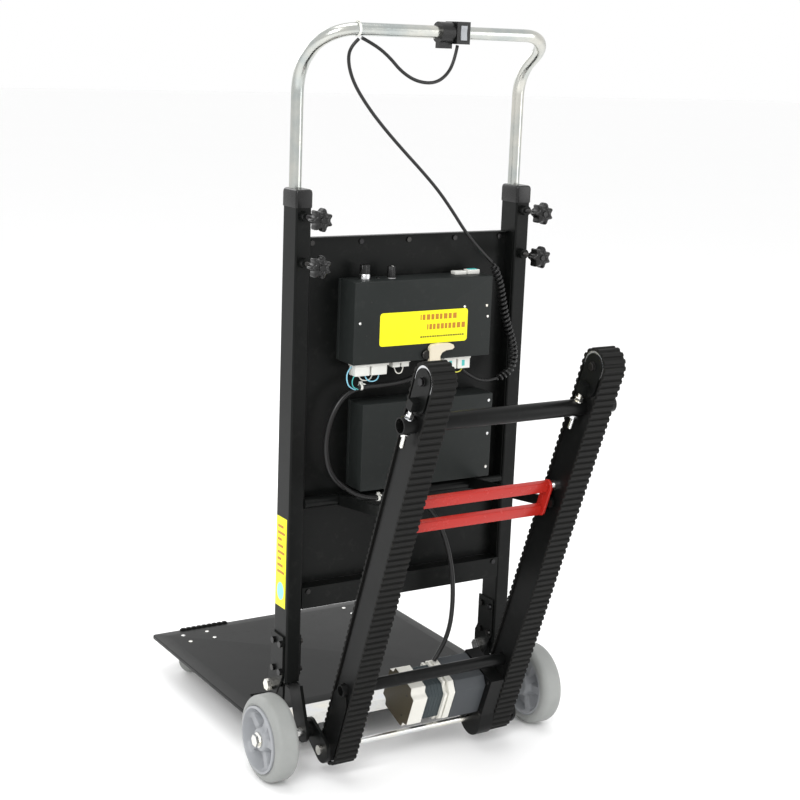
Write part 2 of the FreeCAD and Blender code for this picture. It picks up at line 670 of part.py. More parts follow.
write("idler_left", leaned(pulley(CRAWLER_X, HEAD_U, SHAFT_R + RUN)))
write("idler_right", leaned(pulley(-CRAWLER_X, HEAD_U, SHAFT_R + RUN)))
write("drive_pulleys", [leaned(pulley(x, 0, SHAFT_R + 0.03)) for x in (CRAWLER_X, -CRAWLER_X)])
shaft = rod_x(-211, 211, 0, 0, SHAFT_R)
for side in (-1, 1):
    low = min(side * 209.4, side * 215)
    shaft = shaft.fuse(rod_x(low, low + 5.6, 0, 0, 9))
write("drive_shaft", leaned(shaft.removeSplitter()))


def eight_sided(x0, x1, side, cut):
    """A square body with cut corners about the motor's axis."""
    h = side / 2
    c = h - cut
    outline = [(-h, -c), (-c, -h), (c, -h), (h, -c), (h, c), (c, h), (-c, h), (-h, c)]
    return plate_x([(MOTOR_V + v, MOTOR_U + u) for v, u in outline], x0, x1)


bell = eight_sided(11, 43, MOTOR_SIDE - 2, 20)
stator = eight_sided(-27, 11, MOTOR_SIDE - 12, 17)
flange = eight_sided(-50, -27, MOTOR_SIDE, 20)
groove = eight_sided(-36, -33, MOTOR_SIDE + 2, 20).cut(eight_sided(-36, -33, MOTOR_SIDE - 12, 17))
hollow = rod_x(-12, 12, MOTOR_V, MOTOR_U, 26)
write("motor", leaned(fuse(bell, stator, flange).cut(groove).cut(hollow)))
gearbox = eight_sided(-118, -50.05, MOTOR_SIDE, 18)
gearbox = gearbox.cut(rod_x(-112, -56, MOTOR_V, MOTOR_U, 30))
write("gearbox", leaned(gearbox))

lobe = link_x((0, 0), (MOTOR_V + 11, MOTOR_U), 35, 38, -148.1, -118.05)
deck = plate_x([(-68, 20), (29, 20), (29, 112), (-68, 112)], -148.1, -118.05)
gear_case = lobe.fuse(deck)
gear_case = gear_case.cut(rod_x(-151, -117, 0, 0, SHAFT_R + RUN))
gear_case = gear_case.cut(link_x((0, 0), (MOTOR_V + 11, MOTOR_U), 27, 30, -146, -122))
write("gear_case", leaned(gear_case.removeSplitter()))

# release lever: two bars, two end plates and the studs under the stay's arms
lever = []
for u in LEVER_U:
    bar = box(-134, 134, LEVER_V - 6, LEVER_V + 6, u - 10, u + 10)
    core = box(-130, 130, LEVER_V - 4, LEVER_V + 4, u - 8, u + 8)
    lever.append(bar.cut(core))
for side in (-1, 1):
    low = min(side * 133.9, side * 139)
    ends = link_x((LEVER_V, LEVER_U[1]), (LEVER_V, LEVER_U[0]), 12, 12, low, low + 5.1)
    ends = ends.cut(rod_x(low - 1, low + 7, LEVER_V, LEVER_U[0], 5 + RUN))
    lever.append(ends)
    low = min(side * 138.9, side * 150)
    lever.append(rod_x(low, low + 11.1, LEVER_V, LEVER_U[1], 4))
lever = fuse(*lever)
for side in (-1, 1):
    low = min(side * 134.2, side * 140)
    lever = lever.cut(rod_x(low, low + 5.8, LEVER_V, LEVER_U[0], 5 + RUN))
write("release_lever", leaned(lever))


# stay: a sleeve on the rod, two arms and a cross strip, drawn level and turned
def stay():
    sleeve = tube_x(-140, 140, 0, 0, 10.5, 7 + RUN)
    arm = link_x((0, 0), (STAY_LENGTH, 0), 10.5, 9, STAY_X, STAY_X + 5)
    arm = arm.cut(rod_x(STAY_X - 1, STAY_X + 6, 0, 0, 7 + RUN))
    weld = tube_x(139, STAY_X + 0.5, 0, 0, 10.4, 7 + RUN)
    strip = box(-STAY_X - 0.2, STAY_X + 0.2, 127, 132, -10, 8)
    shape = fuse(sleeve, arm, mirror(arm), weld, mirror(weld), strip)
    shape.rotate(V(0, 0, 0), V(1, 0, 0), STAY_ANGLE)
    shape.translate(V(0, STAY_Y, STAY_Z))
    return shape


write("stay", stay())

# --------------------------------------------------------------------- cords
HARNESS = [
    (-25, 10, 757), (-12, 12, 730), (22, 13, 717), (70, 14, 714), (116, 14, 715),
    (150, 13, 702), (173, 12, 668), (183, 11, 624), (180, 11, 582), (167, 11, 552),
    (145, 13, 531), (117, 16, 514), (85, 20, 506), (50, 22, 504), (12, 24, 505),
]
MOTOR_CABLE = [
    (8, 25, 504), (-14, 32, 494), (-32, 46, 470), (-48, 56, 434), (-62, 60, 390),
    (-72, 60, 342), (-75, 60, 292), (-71, 60, 244), (-56, 60, 206), (-37, 60, 181),
]
CORD_LOOP = [
    (166, 64, 1327), (139, 67, 1315), (112, 68, 1296), (88, 68, 1273), (57, 68, 1257),
    (20, 66, 1254), (-8, 62, 1268), (-24, 60, 1293), (-29, 60, 1320),
]
CORD_RUN = [
    (171, 64, 1325), (186, 60, 1311), (186, 56, 1284), (172, 54, 1250), (142, 52, 1212),
    (108, 50, 1177), (66, 47, 1139), (22, 44, 1101), (-16, 41, 1066), (-50, 38, 1028),
    (-82, 34, 990), (-116, 30, 958), (-148, 27, 932),
]
CORD_COIL = [
    (-150, 27, 930), (-166, 26, 903), (-176, 25, 868), (-184, 25, 834), (-196, 25, 802),
    (-208, 25, 772), (-212, 25, 742), (-199, 25, 717), (-172, 24, 710),
]
CORD_TAIL = [(-171, 24, 710), (-148, 22, 707), (-122, 20, 714), (-100, 18, 731)]
write("harness", cord("harness", HARNESS, 10))
write("motor_cable", cord("motor_cable", MOTOR_CABLE, 9))
write("cord_loop", cord("cord_loop", CORD_LOOP, 6))
write("cord_run", cord("cord_run", CORD_RUN, 6))
write("cord_coil", [cord("cord_coil", CORD_COIL, 17), cord("cord_tail", CORD_TAIL, 6)])
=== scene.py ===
# %% [markdown]
# # A powered stair-climbing hand truck
# A tall frame of rectangular tube, a bent handle that slides in it, a folding toe plate, and two
# leaning belt crawlers with a motor between them.  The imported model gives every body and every
# fixed size; this lesson puts smooth, detailed surfaces and finishes on it.

# %% The frame
import json
import math

import bmesh
import bpy
import numpy as np
from mathutils import Matrix


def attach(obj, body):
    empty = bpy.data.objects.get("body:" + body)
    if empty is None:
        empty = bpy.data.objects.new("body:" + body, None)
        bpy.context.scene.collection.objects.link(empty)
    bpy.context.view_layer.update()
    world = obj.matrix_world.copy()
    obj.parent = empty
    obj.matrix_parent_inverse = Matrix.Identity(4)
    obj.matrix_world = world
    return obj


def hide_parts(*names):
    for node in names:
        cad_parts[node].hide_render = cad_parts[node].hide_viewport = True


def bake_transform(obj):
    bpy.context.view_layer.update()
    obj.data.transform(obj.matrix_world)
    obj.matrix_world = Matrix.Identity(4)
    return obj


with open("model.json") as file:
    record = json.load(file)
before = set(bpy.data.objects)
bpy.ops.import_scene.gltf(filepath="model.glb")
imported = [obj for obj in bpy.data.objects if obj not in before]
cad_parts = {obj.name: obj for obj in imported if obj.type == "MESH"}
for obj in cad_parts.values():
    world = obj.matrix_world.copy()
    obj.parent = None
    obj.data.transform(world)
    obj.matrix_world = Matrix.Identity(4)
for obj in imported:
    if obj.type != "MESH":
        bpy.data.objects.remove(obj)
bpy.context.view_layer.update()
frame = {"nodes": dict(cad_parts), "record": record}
nodes = frame["nodes"]

# %% [markdown]
# ## Where things are
# All sizes below are in millimetres from the floor, the middle plane and the uprights' rear face.
# One function turns them into the model's own metres, and a second one does the same for pieces
# of the crawlers, which are easier to describe upright (x, to the rear, along the rail) and then
# leaned back about the drive shaft.

# %% Two placing functions
REAR_FACE = 87.2
PIVOT = np.array([0.0, 72.8, 56.7])
LEAN = math.radians(20)
CRAWLER_X = 171.4
HEAD = 787.5


def row(points):
    """Millimetres from the rear face -> metres in the model's frame."""
    return (np.asarray(points, float) + (0, REAR_FACE, 0)) / 1000


def leaned(points):
    """(x, v, u) drawn upright on the shaft -> millimetres from the rear face."""
    x, v, u = np.moveaxis(np.asarray(points, float), -1, 0)
    c, s = math.cos(LEAN), math.sin(LEAN)
    return np.stack([x, PIVOT[1] + v * c + u * s, PIVOT[2] - v * s + u * c], -1)


# %% [markdown]
# ## Camera
# A long lens from the operator's left, a little above the handle's middle, turned by a small roll.

# %% Camera
EYE = row([1557.4, 2463.5, 1333.0])
AZIMUTH, ELEVATION, ROLL = (math.radians(a) for a in (148.08, 12.68, 2.23))


def aim():
    """The camera's right, up and back directions from azimuth, elevation and roll."""
    ca, sa, ce, se = math.cos(AZIMUTH), math.sin(AZIMUTH), math.cos(ELEVATION), math.sin(ELEVATION)
    back = np.array([sa * ce, -ca * ce, se])
    right = np.array([ca, sa, 0.0])
    up = np.cross(back, right)
    cr, sr = math.cos(ROLL), math.sin(ROLL)
    return right * cr + up * sr, up * cr - right * sr, back


scene = bpy.context.scene
camera = bpy.data.objects.new("camera", bpy.data.cameras.new("camera"))
scene.collection.objects.link(camera)
matrix = np.eye(4)
matrix[:3, 0], matrix[:3, 1], matrix[:3, 2] = aim()
matrix[:3, 3] = EYE
camera.matrix_world = Matrix(matrix.tolist())
camera.data.lens = 72.86
camera.data.sensor_width = 36
camera.data.clip_start = 0.05
camera.data.clip_end = 60
scene.camera = camera

# %% [markdown]
# ## Shader maths as plain expressions
# A socket wrapped in a small class can be added, multiplied and subtracted like a number, and a
# finish is then a few lines of arithmetic.


# %% Sockets that can be added and multiplied
class Socket:
    """An output socket; + - * make Math nodes."""

    def __init__(self, finish, out):
        self.finish = finish
        self.out = out

    def math(self, operation, other, swap=False):
        values = {0: other, 1: self} if swap else {0: self, 1: other}
        return self.finish.add("ShaderNodeMath", {"operation": operation}, values)

    def __add__(self, other):
        return self.math("ADD", other)

    def __radd__(self, other):
        return self.math("ADD", other, True)

    def __sub__(self, other):
        return self.math("SUBTRACT", other)

    def __rsub__(self, other):
        return self.math("SUBTRACT", other, True)

    def __mul__(self, other):
        return self.math("MULTIPLY", other)

    def __rmul__(self, other):
        return self.math("MULTIPLY", other, True)


class Finish:
    """A material and the one method that adds its nodes."""

    def __init__(self, name):
        self.material = bpy.data.materials.new(name)
        self.material.use_nodes = True
        self.tree = self.material.node_tree
        self.tree.nodes.clear()

    def add(self, kind, settings=None, values=None, out=0):
        node = self.tree.nodes.new(kind)
        for key, value in (settings or {}).items():
            if key == "stops":
                while len(node.color_ramp.elements) < len(value):
                    node.color_ramp.elements.new(0.5)
                for element, (at, grey) in zip(node.color_ramp.elements, value):
                    element.position = at
                    element.color = (grey, grey, grey, 1)
            else:
                setattr(node, key, value)
        for key, value in (values or {}).items():
            if isinstance(value, Socket):
                self.tree.links.new(value.out, node.inputs[key])
            else:
                node.inputs[key].default_value = value
        return Socket(self, node.outputs[out]) if node.outputs else None

    def coords(self, scale=(1, 1, 1)):
        """Object coordinates in metres, stretched."""
        place = self.add("ShaderNodeTexCoord", out="Object")
        return self.add("ShaderNodeVectorMath", {"operation": "MULTIPLY"}, {0: place, 1: scale})

    def noise(self, scale, detail=3.0, stretch=(1, 1, 1), roughness=0.55):
        values = {"Vector": self.coords(stretch), "Scale": scale, "Detail": detail, "Roughness": roughness}
        return self.add("ShaderNodeTexNoise", {}, values, "Fac")

    def ramp(self, value, *stops):
        return self.add("ShaderNodeValToRGB", {"stops": stops}, {0: value})

    def mix(self, factor, low, high):
        low = low if isinstance(low, Socket) else (*low, 1)
        high = high if isinstance(high, Socket) else (*high, 1)
        return self.add("ShaderNodeMix", {"data_type": "RGBA"}, {0: factor, 6: low, 7: high}, 2)

    def bump(self, height, strength, distance, under=None):
        values = {"Height": height, "Strength": strength, "Distance": distance}
        if under is not None:
            values["Normal"] = under
        return self.add("ShaderNodeBump", {}, values)

    def surface(self, **values):
        """The Principled shader; names use underscores for spaces."""
        named = {key.replace("_", " "): value for key, value in values.items()}
        for key, value in named.items():
            if key == "Base Color" and not isinstance(value, Socket):
                named[key] = (*value, 1)
        shader = self.add("ShaderNodeBsdfPrincipled", {}, named)
        self.add("ShaderNodeOutputMaterial", {}, {"Surface": shader})
        return self.material


# %% [markdown]
# ## Finishes
# Powder coat is a thick satin paint: nearly black, a fine orange-peel grain and large soft
# patches where it is a little duller.  Zinc plate is a bright metal with faint yellow and blue
# clouds.  Moulded plastics and rubbers differ mostly in how rough they are.


# %% Paints
def powder(name, dark, light, rough, peel=0.10, grain=1500, gloss=0.13):
    """Satin powder coat: two near tones in soft clouds, fine grain, faint dust."""
    f = Finish(name)
    clouds = f.noise(7, 4)
    dust = f.ramp(f.noise(60, 6, roughness=0.7), (0.55, 0), (0.8, 1))
    base = f.mix(clouds, dark, light)
    base = f.mix(dust * 0.03, base, (0.30, 0.29, 0.27))
    grainy = f.noise(grain, 2)
    return f.surface(
        Base_Color=base,
        Roughness=rough + (clouds - 0.5) * 0.18 + dust * 0.12,
        Specular_IOR_Level=gloss,
        Normal=f.bump(grainy, peel, 0.0004),
    )


def metal(name, cool, warm, rough, lines=(1, 1, 1), grain=260, strength=0.06):
    """Plated or turned metal: warm and cool clouds over fine drawn lines."""
    f = Finish(name)
    clouds = f.noise(16, 5)
    fine = f.noise(grain, 4, lines)
    base = f.mix(f.ramp(clouds, (0.35, 0), (0.68, 1)), cool, warm)
    return f.surface(
        Base_Color=base,
        Metallic=1.0,
        Roughness=rough + (fine - 0.5) * 0.16 + (clouds - 0.5) * 0.12,
        Normal=f.bump(fine, strength, 0.0003),
    )


def plastic(name, dark, light, rough, grain=900, strength=0.08, gloss=0.5):
    """Moulded plastic or rubber: slight clouding and a fine moulded grain."""
    f = Finish(name)
    clouds = f.noise(24, 4)
    scuff = f.ramp(f.noise(140, 6, roughness=0.75), (0.58, 0), (0.78, 1))
    base = f.mix(clouds, dark, light)
    base = f.mix(scuff * 0.10, base, tuple(min(1.0, c * 1.5 + 0.01) for c in light))
    return f.surface(
        Base_Color=base,
        Roughness=rough + (clouds - 0.5) * 0.16 + scuff * 0.10,
        Specular_IOR_Level=gloss,
        Normal=f.bump(f.noise(grain, 2), strength, 0.0003),
    )


FINISHES = {
    "black_frame": powder("powder_black", (0.0030, 0.0034, 0.0032), (0.0060, 0.0066, 0.0062), 0.36),
    "black_alloy": powder("powder_rail", (0.0030, 0.0032, 0.0032), (0.0065, 0.0068, 0.0066), 0.38),
    "black_case": powder("powder_case", (0.013, 0.015, 0.0145), (0.021, 0.024, 0.023), 0.46, 0.28, 900, 0.15),
    "black_plastic": plastic("plastic_black", (0.004, 0.004, 0.004), (0.008, 0.008, 0.008), 0.27, gloss=0.35),
    "white_plastic": plastic("nylon_white", (0.62, 0.62, 0.58), (0.78, 0.78, 0.74), 0.42),
    "grey_plastic": plastic("plastic_grey", (0.25, 0.26, 0.275), (0.33, 0.34, 0.355), 0.40),
    "grey_rubber": plastic("rubber_grey", (0.235, 0.243, 0.235), (0.305, 0.313, 0.302),
                           0.50, 500, 0.12, 0.35),
    "black_rubber": plastic("rubber_black", (0.005, 0.005, 0.005), (0.011, 0.011, 0.010),
                            0.55, 600, 0.20, 0.13),
    "zinc": metal("zinc_plate", (0.70, 0.72, 0.75), (0.80, 0.77, 0.68), 0.24),
    "zinc_tube": metal("zinc_tube", (0.42, 0.45, 0.44), (0.58, 0.57, 0.52), 0.22, (3, 3, 0.25), 180, 0.05),
    "bright_metal": metal("turned_metal", (0.62, 0.63, 0.65), (0.72, 0.72, 0.72), 0.20, (4, 1, 1), 300),
    "raw_alloy": metal("cast_alloy", (0.42, 0.41, 0.40), (0.50, 0.46, 0.40), 0.46, (1, 1, 1), 420, 0.3),
    "grey_alloy": powder("grey_casting", (0.045, 0.050, 0.055), (0.070, 0.075, 0.080), 0.42, 0.4, 700),
    "red_paint": powder("red_coat", (0.36, 0.014, 0.010), (0.44, 0.022, 0.014), 0.26, 0.05, gloss=0.30),
    "cell_wrap": plastic("cell_wrap", (0.02, 0.05, 0.20), (0.03, 0.07, 0.28), 0.30),
    "cable_black": plastic("cable_black", (0.005, 0.005, 0.005), (0.010, 0.010, 0.010), 0.30, gloss=0.35),
}
EXTRA = {
    "label_yellow": plastic("label_yellow", (0.84, 0.80, 0.010), (0.90, 0.86, 0.016), 0.36, 900, 0.02, 0.25),
    "label_ink": plastic("label_ink", (0.42, 0.17, 0.015), (0.52, 0.23, 0.03), 0.40, 900, 0.02, 0.25),
    "label_blue": plastic("label_blue", (0.22, 0.60, 0.72), (0.32, 0.70, 0.80), 0.35, 900, 0.02),
    "ivory": plastic("ivory_casting", (0.62, 0.61, 0.55), (0.74, 0.73, 0.68), 0.38, 700, 0.12),
    "label_dark": plastic("label_dark", (0.10, 0.08, 0.01), (0.15, 0.12, 0.02), 0.40, 900, 0.02, 0.25),
    "end_brown": powder("end_casting", (0.034, 0.027, 0.014), (0.060, 0.048, 0.026), 0.42, 0.3, 900, 0.25),
    "stator": powder("stator_grey", (0.030, 0.040, 0.044), (0.050, 0.062, 0.066), 0.40, 0.3, 900),
    "cream": plastic("cream_plastic", (0.60, 0.54, 0.42), (0.70, 0.64, 0.50), 0.45),
    "teal": plastic("teal_plastic", (0.05, 0.42, 0.40), (0.08, 0.52, 0.50), 0.40),
    "wire_blue": plastic("wire_blue", (0.20, 0.50, 0.65), (0.28, 0.60, 0.74), 0.35),
    "wire_yellow": plastic("wire_yellow", (0.62, 0.60, 0.06), (0.72, 0.70, 0.10), 0.35),
    "screw_dark": metal("screw_dark", (0.030, 0.030, 0.032), (0.055, 0.053, 0.050), 0.30),
}
print("finishes", len(FINISHES) + len(EXTRA))

# %% [markdown]
# ## From arrays to pieces
# Every shape is a pair: an array of points and a list of faces.  A grid of points becomes quads
# by index arithmetic alone.  Lathe, loft, prism and sweep are four ways to fill that grid.


# %% Grids and faces
def quads(rows, cols, wrap_rows=False, wrap_cols=True):
    """Corner numbers of each cell in a rows x cols grid, wrapped where asked."""
    r = np.arange(rows if wrap_rows else rows - 1)
    c = np.arange(cols if wrap_cols else cols - 1)
    r, c = np.meshgrid(r, c, indexing="ij")
    r2, c2 = (r + 1) % rows, (c + 1) % cols
    cells = np.stack([r * cols + c, r * cols + c2, r2 * cols + c2, r2 * cols + c], -1)
    return cells.reshape(-1, 4).tolist()


def loft(loops, closed_ends=True, wrap_rows=False):
    """Closed loops (rows x cols x 3) skinned in order, with a face over each end."""
    loops = np.asarray(loops, float)
    rows, cols, _ = loops.shape
    faces = quads(rows, cols, wrap_rows)
    if closed_ends and not wrap_rows:
        faces += [list(range(cols))[::-1], list(range((rows - 1) * cols, rows * cols))]
    return loops.reshape(-1, 3), faces


def turned(profile, centre, axis=0, count=48, start=0.0):
    """A lathe: (distance along the axis, radius) pairs carried round the axis."""
    profile = np.asarray(profile, float)
    turn = np.linspace(0, 2 * np.pi, count, endpoint=False) + start
    along = np.repeat(profile[:, :1], count, 1)
    a = profile[:, 1:] * np.cos(turn)
    b = profile[:, 1:] * np.sin(turn)
    order = {0: (along, a, b), 1: (b, along, a), 2: (a, b, along)}[axis]
    return loft(np.stack(order, -1) + np.asarray(centre, float))


def rounded(half_a, half_b, radius, steps=4):
    """A rectangle with round corners as (a, b) pairs, anticlockwise."""
    turn = np.linspace(0, np.pi / 2, steps + 1)
    corners = []
    for k, (sa, sb) in enumerate(((1, 1), (-1, 1), (-1, -1), (1, -1))):
        t = turn + k * np.pi / 2
        a = sa * (half_a - radius) + radius * np.cos(t)
        b = sb * (half_b - radius) + radius * np.sin(t)
        corners.append(np.stack([a, b], -1))
    return np.concatenate(corners)


def prism(outline, low, high, axis=0, ease=0.6):
    """An outline of pairs carried along an axis, its end edges eased by shrinking the last loops."""
    outline = np.asarray(outline, float)
    middle = outline.mean(0)
    size = np.abs(outline - middle).max()
    inner = middle + (outline - middle) * (1 - ease / size)
    rows = []
    for at, line in ((low, inner), (low + ease, outline), (high - ease, outline), (high, inner)):
        flat = np.full(len(outline), at)
        a, b = line[:, 0], line[:, 1]
        rows.append(np.stack({0: (flat, a, b), 1: (b, flat, a), 2: (a, b, flat)}[axis], -1))
    return loft(rows)


def block(low, high, radius=1.0, axis=2):
    """A box with its edges rounded, standing along an axis."""
    low, high = np.asarray(low, float), np.asarray(high, float)
    half, middle = (high - low) / 2, (high + low) / 2
    a, b = {0: (1, 2), 1: (2, 0), 2: (0, 1)}[axis]
    radius = min(radius, half[a] * 0.9, half[b] * 0.9, half[axis] * 0.9)
    loops = []
    for t in np.linspace(0, np.pi / 2, 4):
        inset = radius * (1 - math.sin(t))
        rise = radius * (1 - math.cos(t))
        loops.append((inset, -half[axis] + rise))
    loops += [(inset, -z) for inset, z in loops[::-1]]
    rows = []
    for inset, z in loops:
        line = rounded(half[a] - inset, half[b] - inset, max(radius - inset * 0.6, 0.2))
        flat = np.full(len(line), z)
        parts = [None, None, None]
        parts[a], parts[b], parts[axis] = line[:, 0], line[:, 1], flat
        rows.append(np.stack(parts, -1) + middle)
    return loft(rows)


def hexagon(flats):
    """A hexagon's corners as pairs, by its width across flats."""
    turn = np.arange(6) * np.pi / 3
    return np.stack([np.cos(turn), np.sin(turn)], -1) * flats / math.sqrt(3)


def bolt(centre, axis, direction, flats, height, washer=None):
    """A hexagon head, its washer and a chamfered crown, facing along an axis."""
    c = np.asarray(centre, float)
    sign = direction
    others = {0: (1, 2), 1: (2, 0), 2: (0, 1)}[axis]
    base = c[axis]
    parts = []
    if washer:
        top = base + sign * 1.6
        profile = [(base, 0), (base, washer), (base + sign * 1.2, washer), (top, washer - 0.6), (top, 0)]
        parts.append(turned(profile, c * (np.arange(3) != axis), axis, 36))
        base += sign * 1.6
    line = hexagon(flats) + c[list(others)]
    low, high = sorted((base, base + sign * height))
    parts.append(prism(line, low, high, axis, 0.8))
    return parts


def arcs(points, radii, step=5.0):
    """Straight runs joined by tangent arcs, sampled every few millimetres on the arcs."""
    points = np.asarray(points, float)
    line = [points[0]]
    for i in range(1, len(points) - 1):
        back = points[i - 1] - points[i]
        ahead = points[i + 1] - points[i]
        back, ahead = back / np.linalg.norm(back), ahead / np.linalg.norm(ahead)
        turn = math.pi - math.acos(np.clip(back @ ahead, -1, 1))
        reach = radii[i - 1] * math.tan(turn / 2)
        middle = (back + ahead) / np.linalg.norm(back + ahead)
        centre = points[i] + middle * radii[i - 1] / math.cos(turn / 2)
        start = points[i] + back * reach - centre
        side = points[i] + ahead * reach - centre
        normal = side - start * (start @ side) / (start @ start)
        normal *= np.linalg.norm(start) / np.linalg.norm(normal)
        t = np.linspace(0, turn, max(3, int(radii[i - 1] * turn / step)))[:, None]
        line.extend(centre + start * np.cos(t) + normal * np.sin(t))
    line.append(points[-1])
    return np.array(line)


def sweep(line, radius, count=16):
    """A round section carried along a line without twist (each normal is the last one, tilted)."""
    line = np.asarray(line, float)
    ahead = np.gradient(line, axis=0)
    ahead /= np.linalg.norm(ahead, axis=1)[:, None]
    seed = np.array([0, 0, 1.0]) if abs(ahead[0, 2]) < 0.8 else np.array([1.0, 0, 0])
    normals = []
    for direction in ahead:
        seed = seed - direction * (seed @ direction)
        seed = seed / np.linalg.norm(seed)
        normals.append(seed)
    normals = np.array(normals)
    sides = np.cross(ahead, normals)
    turn = np.linspace(0, 2 * np.pi, count, endpoint=False)[None, :, None]
    radius = np.broadcast_to(np.asarray(radius, float), len(line))[:, None, None]
    rings = line[:, None] + radius * (normals[:, None] * np.cos(turn) + sides[:, None] * np.sin(turn))
    return loft(rings)


# %% One function that makes a piece
def piece(name, parts, slot, body, replaces=(), finish=None, angle=32, place=row):
    """One mesh object from several shapes, merged, facing outwards, smooth up to an angle."""
    if isinstance(parts, tuple):
        parts = [parts]
    points, faces, start = [], [], 0
    for part_points, part_faces in parts:
        points.append(part_points)
        faces += [[start + k for k in face] for face in part_faces]
        start += len(part_points)
    mesh = bpy.data.meshes.new(name)
    mesh.from_pydata(place(np.concatenate(points)).tolist(), [], faces)
    work = bmesh.new()
    work.from_mesh(mesh)
    bmesh.ops.remove_doubles(work, verts=work.verts, dist=1e-6)
    bmesh.ops.dissolve_degenerate(work, edges=work.edges, dist=1e-7)
    bmesh.ops.recalc_face_normals(work, faces=work.faces)
    work.to_mesh(mesh)
    work.free()
    mesh.shade_smooth()
    mesh.set_sharp_from_angle(angle=math.radians(angle))
    thing = bpy.data.objects.new(name, mesh)
    scene.collection.objects.link(thing)
    mesh.materials.append(EXTRA[finish] if finish else FINISHES[slot])
    if body:
        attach(thing, body)
    if replaces:
        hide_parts(*replaces)
    return thing


def on_crawler(points):
    return row(leaned(points))


def flipped(part):
    """The twin on the other side of the middle plane."""
    points, faces = part
    return points * (-1, 1, 1), faces


def pair(*parts):
    return list(parts) + [flipped(part) for part in parts]


# %% [markdown]
# ## Cords first
# The hand switch hangs on a black cord: a loop under the crossbar, a long slack run, and a curly
# part beside the controller.  Each is a smooth spline through points listed like those of the
# solids.  The curly part's helix is wound round its route's own spline.

# %% Routes
HARNESS = [
    (-25, 10, 757), (-12, 12, 730), (22, 13, 717), (70, 14, 714), (116, 14, 715),
    (150, 13, 702), (173, 12, 668), (183, 11, 624), (180, 11, 582), (167, 11, 552),
    (145, 13, 531), (117, 16, 514), (85, 20, 506), (50, 22, 504), (12, 24, 505),
]
MOTOR_CABLE = [
    (8, 25, 504), (-14, 32, 494), (-32, 46, 470), (-48, 56, 434), (-62, 60, 390),
    (-72, 60, 342), (-75, 60, 292), (-71, 60, 244), (-56, 60, 206), (-37, 60, 181),
]
CORD_LOOP = [
    (166, 64, 1327), (139, 67, 1315), (112, 68, 1296), (88, 68, 1273), (57, 68, 1257),
    (20, 66, 1254), (-8, 62, 1268), (-24, 60, 1293), (-29, 60, 1320),
]
CORD_RUN = [
    (171, 64, 1325), (186, 60, 1311), (186, 56, 1284), (172, 54, 1250), (142, 52, 1212),
    (108, 50, 1177), (66, 47, 1139), (22, 44, 1101), (-16, 41, 1066), (-50, 38, 1028),
    (-82, 34, 990), (-116, 30, 958), (-148, 27, 932),
]
CORD_COIL = [
    (-150, 27, 930), (-166, 26, 903), (-176, 25, 868), (-184, 25, 834), (-196, 25, 802),
    (-208, 25, 772), (-212, 25, 742), (-199, 25, 717), (-172, 24, 710),
]
CORD_TAIL = [(-171, 24, 710), (-148, 22, 707), (-122, 20, 714), (-100, 18, 731)]


def spline(name, points, diameter=0.0, steps=10):
    """A NURBS curve of order 3 with these control points, given a round section."""
    curve = bpy.data.curves.new(name, "CURVE")
    curve.dimensions = "3D"
    line = curve.splines.new("NURBS")
    line.points.add(len(points) - 1)
    line.points.foreach_set("co", np.column_stack([points, np.ones(len(points))]).ravel())
    line.order_u = 3
    line.use_endpoint_u = True
    line.resolution_u = steps
    curve.bevel_depth = diameter / 2
    curve.bevel_resolution = 4
    curve.use_fill_caps = True
    return curve


def read_line(curve):
    """The smooth line's own points, as an array."""
    probe = bpy.data.objects.new("probe", curve)
    mesh = bpy.data.meshes.new_from_object(probe)
    points = np.zeros(len(mesh.vertices) * 3)
    mesh.vertices.foreach_get("co", points)
    bpy.data.meshes.remove(mesh)
    bpy.data.objects.remove(probe)
    return points.reshape(-1, 3)


def run_length(points):
    return float(np.linalg.norm(np.diff(points, axis=0), axis=1).sum())


def cord(name, points, diameter, body, node, finish=None):
    """A free cord along the given points."""
    curve = spline(name, points, diameter)
    thing = bpy.data.objects.new(name, curve)
    scene.collection.objects.link(thing)
    curve.materials.append(EXTRA[finish] if finish else FINISHES["cable_black"])
    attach(thing, body)
    if node:
        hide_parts(node)
    line = read_line(spline(name + "_line", points))
    return line


# %% Harness, motor cable and the hand switch's cord
cord("harness_cable", row(HARNESS), 0.010, "frame", "harness")
cord("hand_cord_loop", row(CORD_LOOP), 0.006, "handle", "cord_loop")


def blended(name, points, diameter, node):
    """A cord between two bodies: a mesh tube, swept once and attached to neither body."""
    line = read_line(spline(name + "_line", points, 0.0, 6))
    tube = sweep(line * 1000, diameter * 500, 12)
    thing = piece(name, tube, "cable_black", None, place=lambda p: np.asarray(p) / 1000)
    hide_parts(node)
    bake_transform(thing)
    print(name, "length", round(run_length(line), 4))


blended("hand_cord_run", row(CORD_RUN), 0.006, "cord_run")
blended("motor_cable_piece", row(MOTOR_CABLE), 0.009, "motor_cable")

COIL_TURNS = 30
COIL_RADIUS = 5.6
WIRE = 5.0


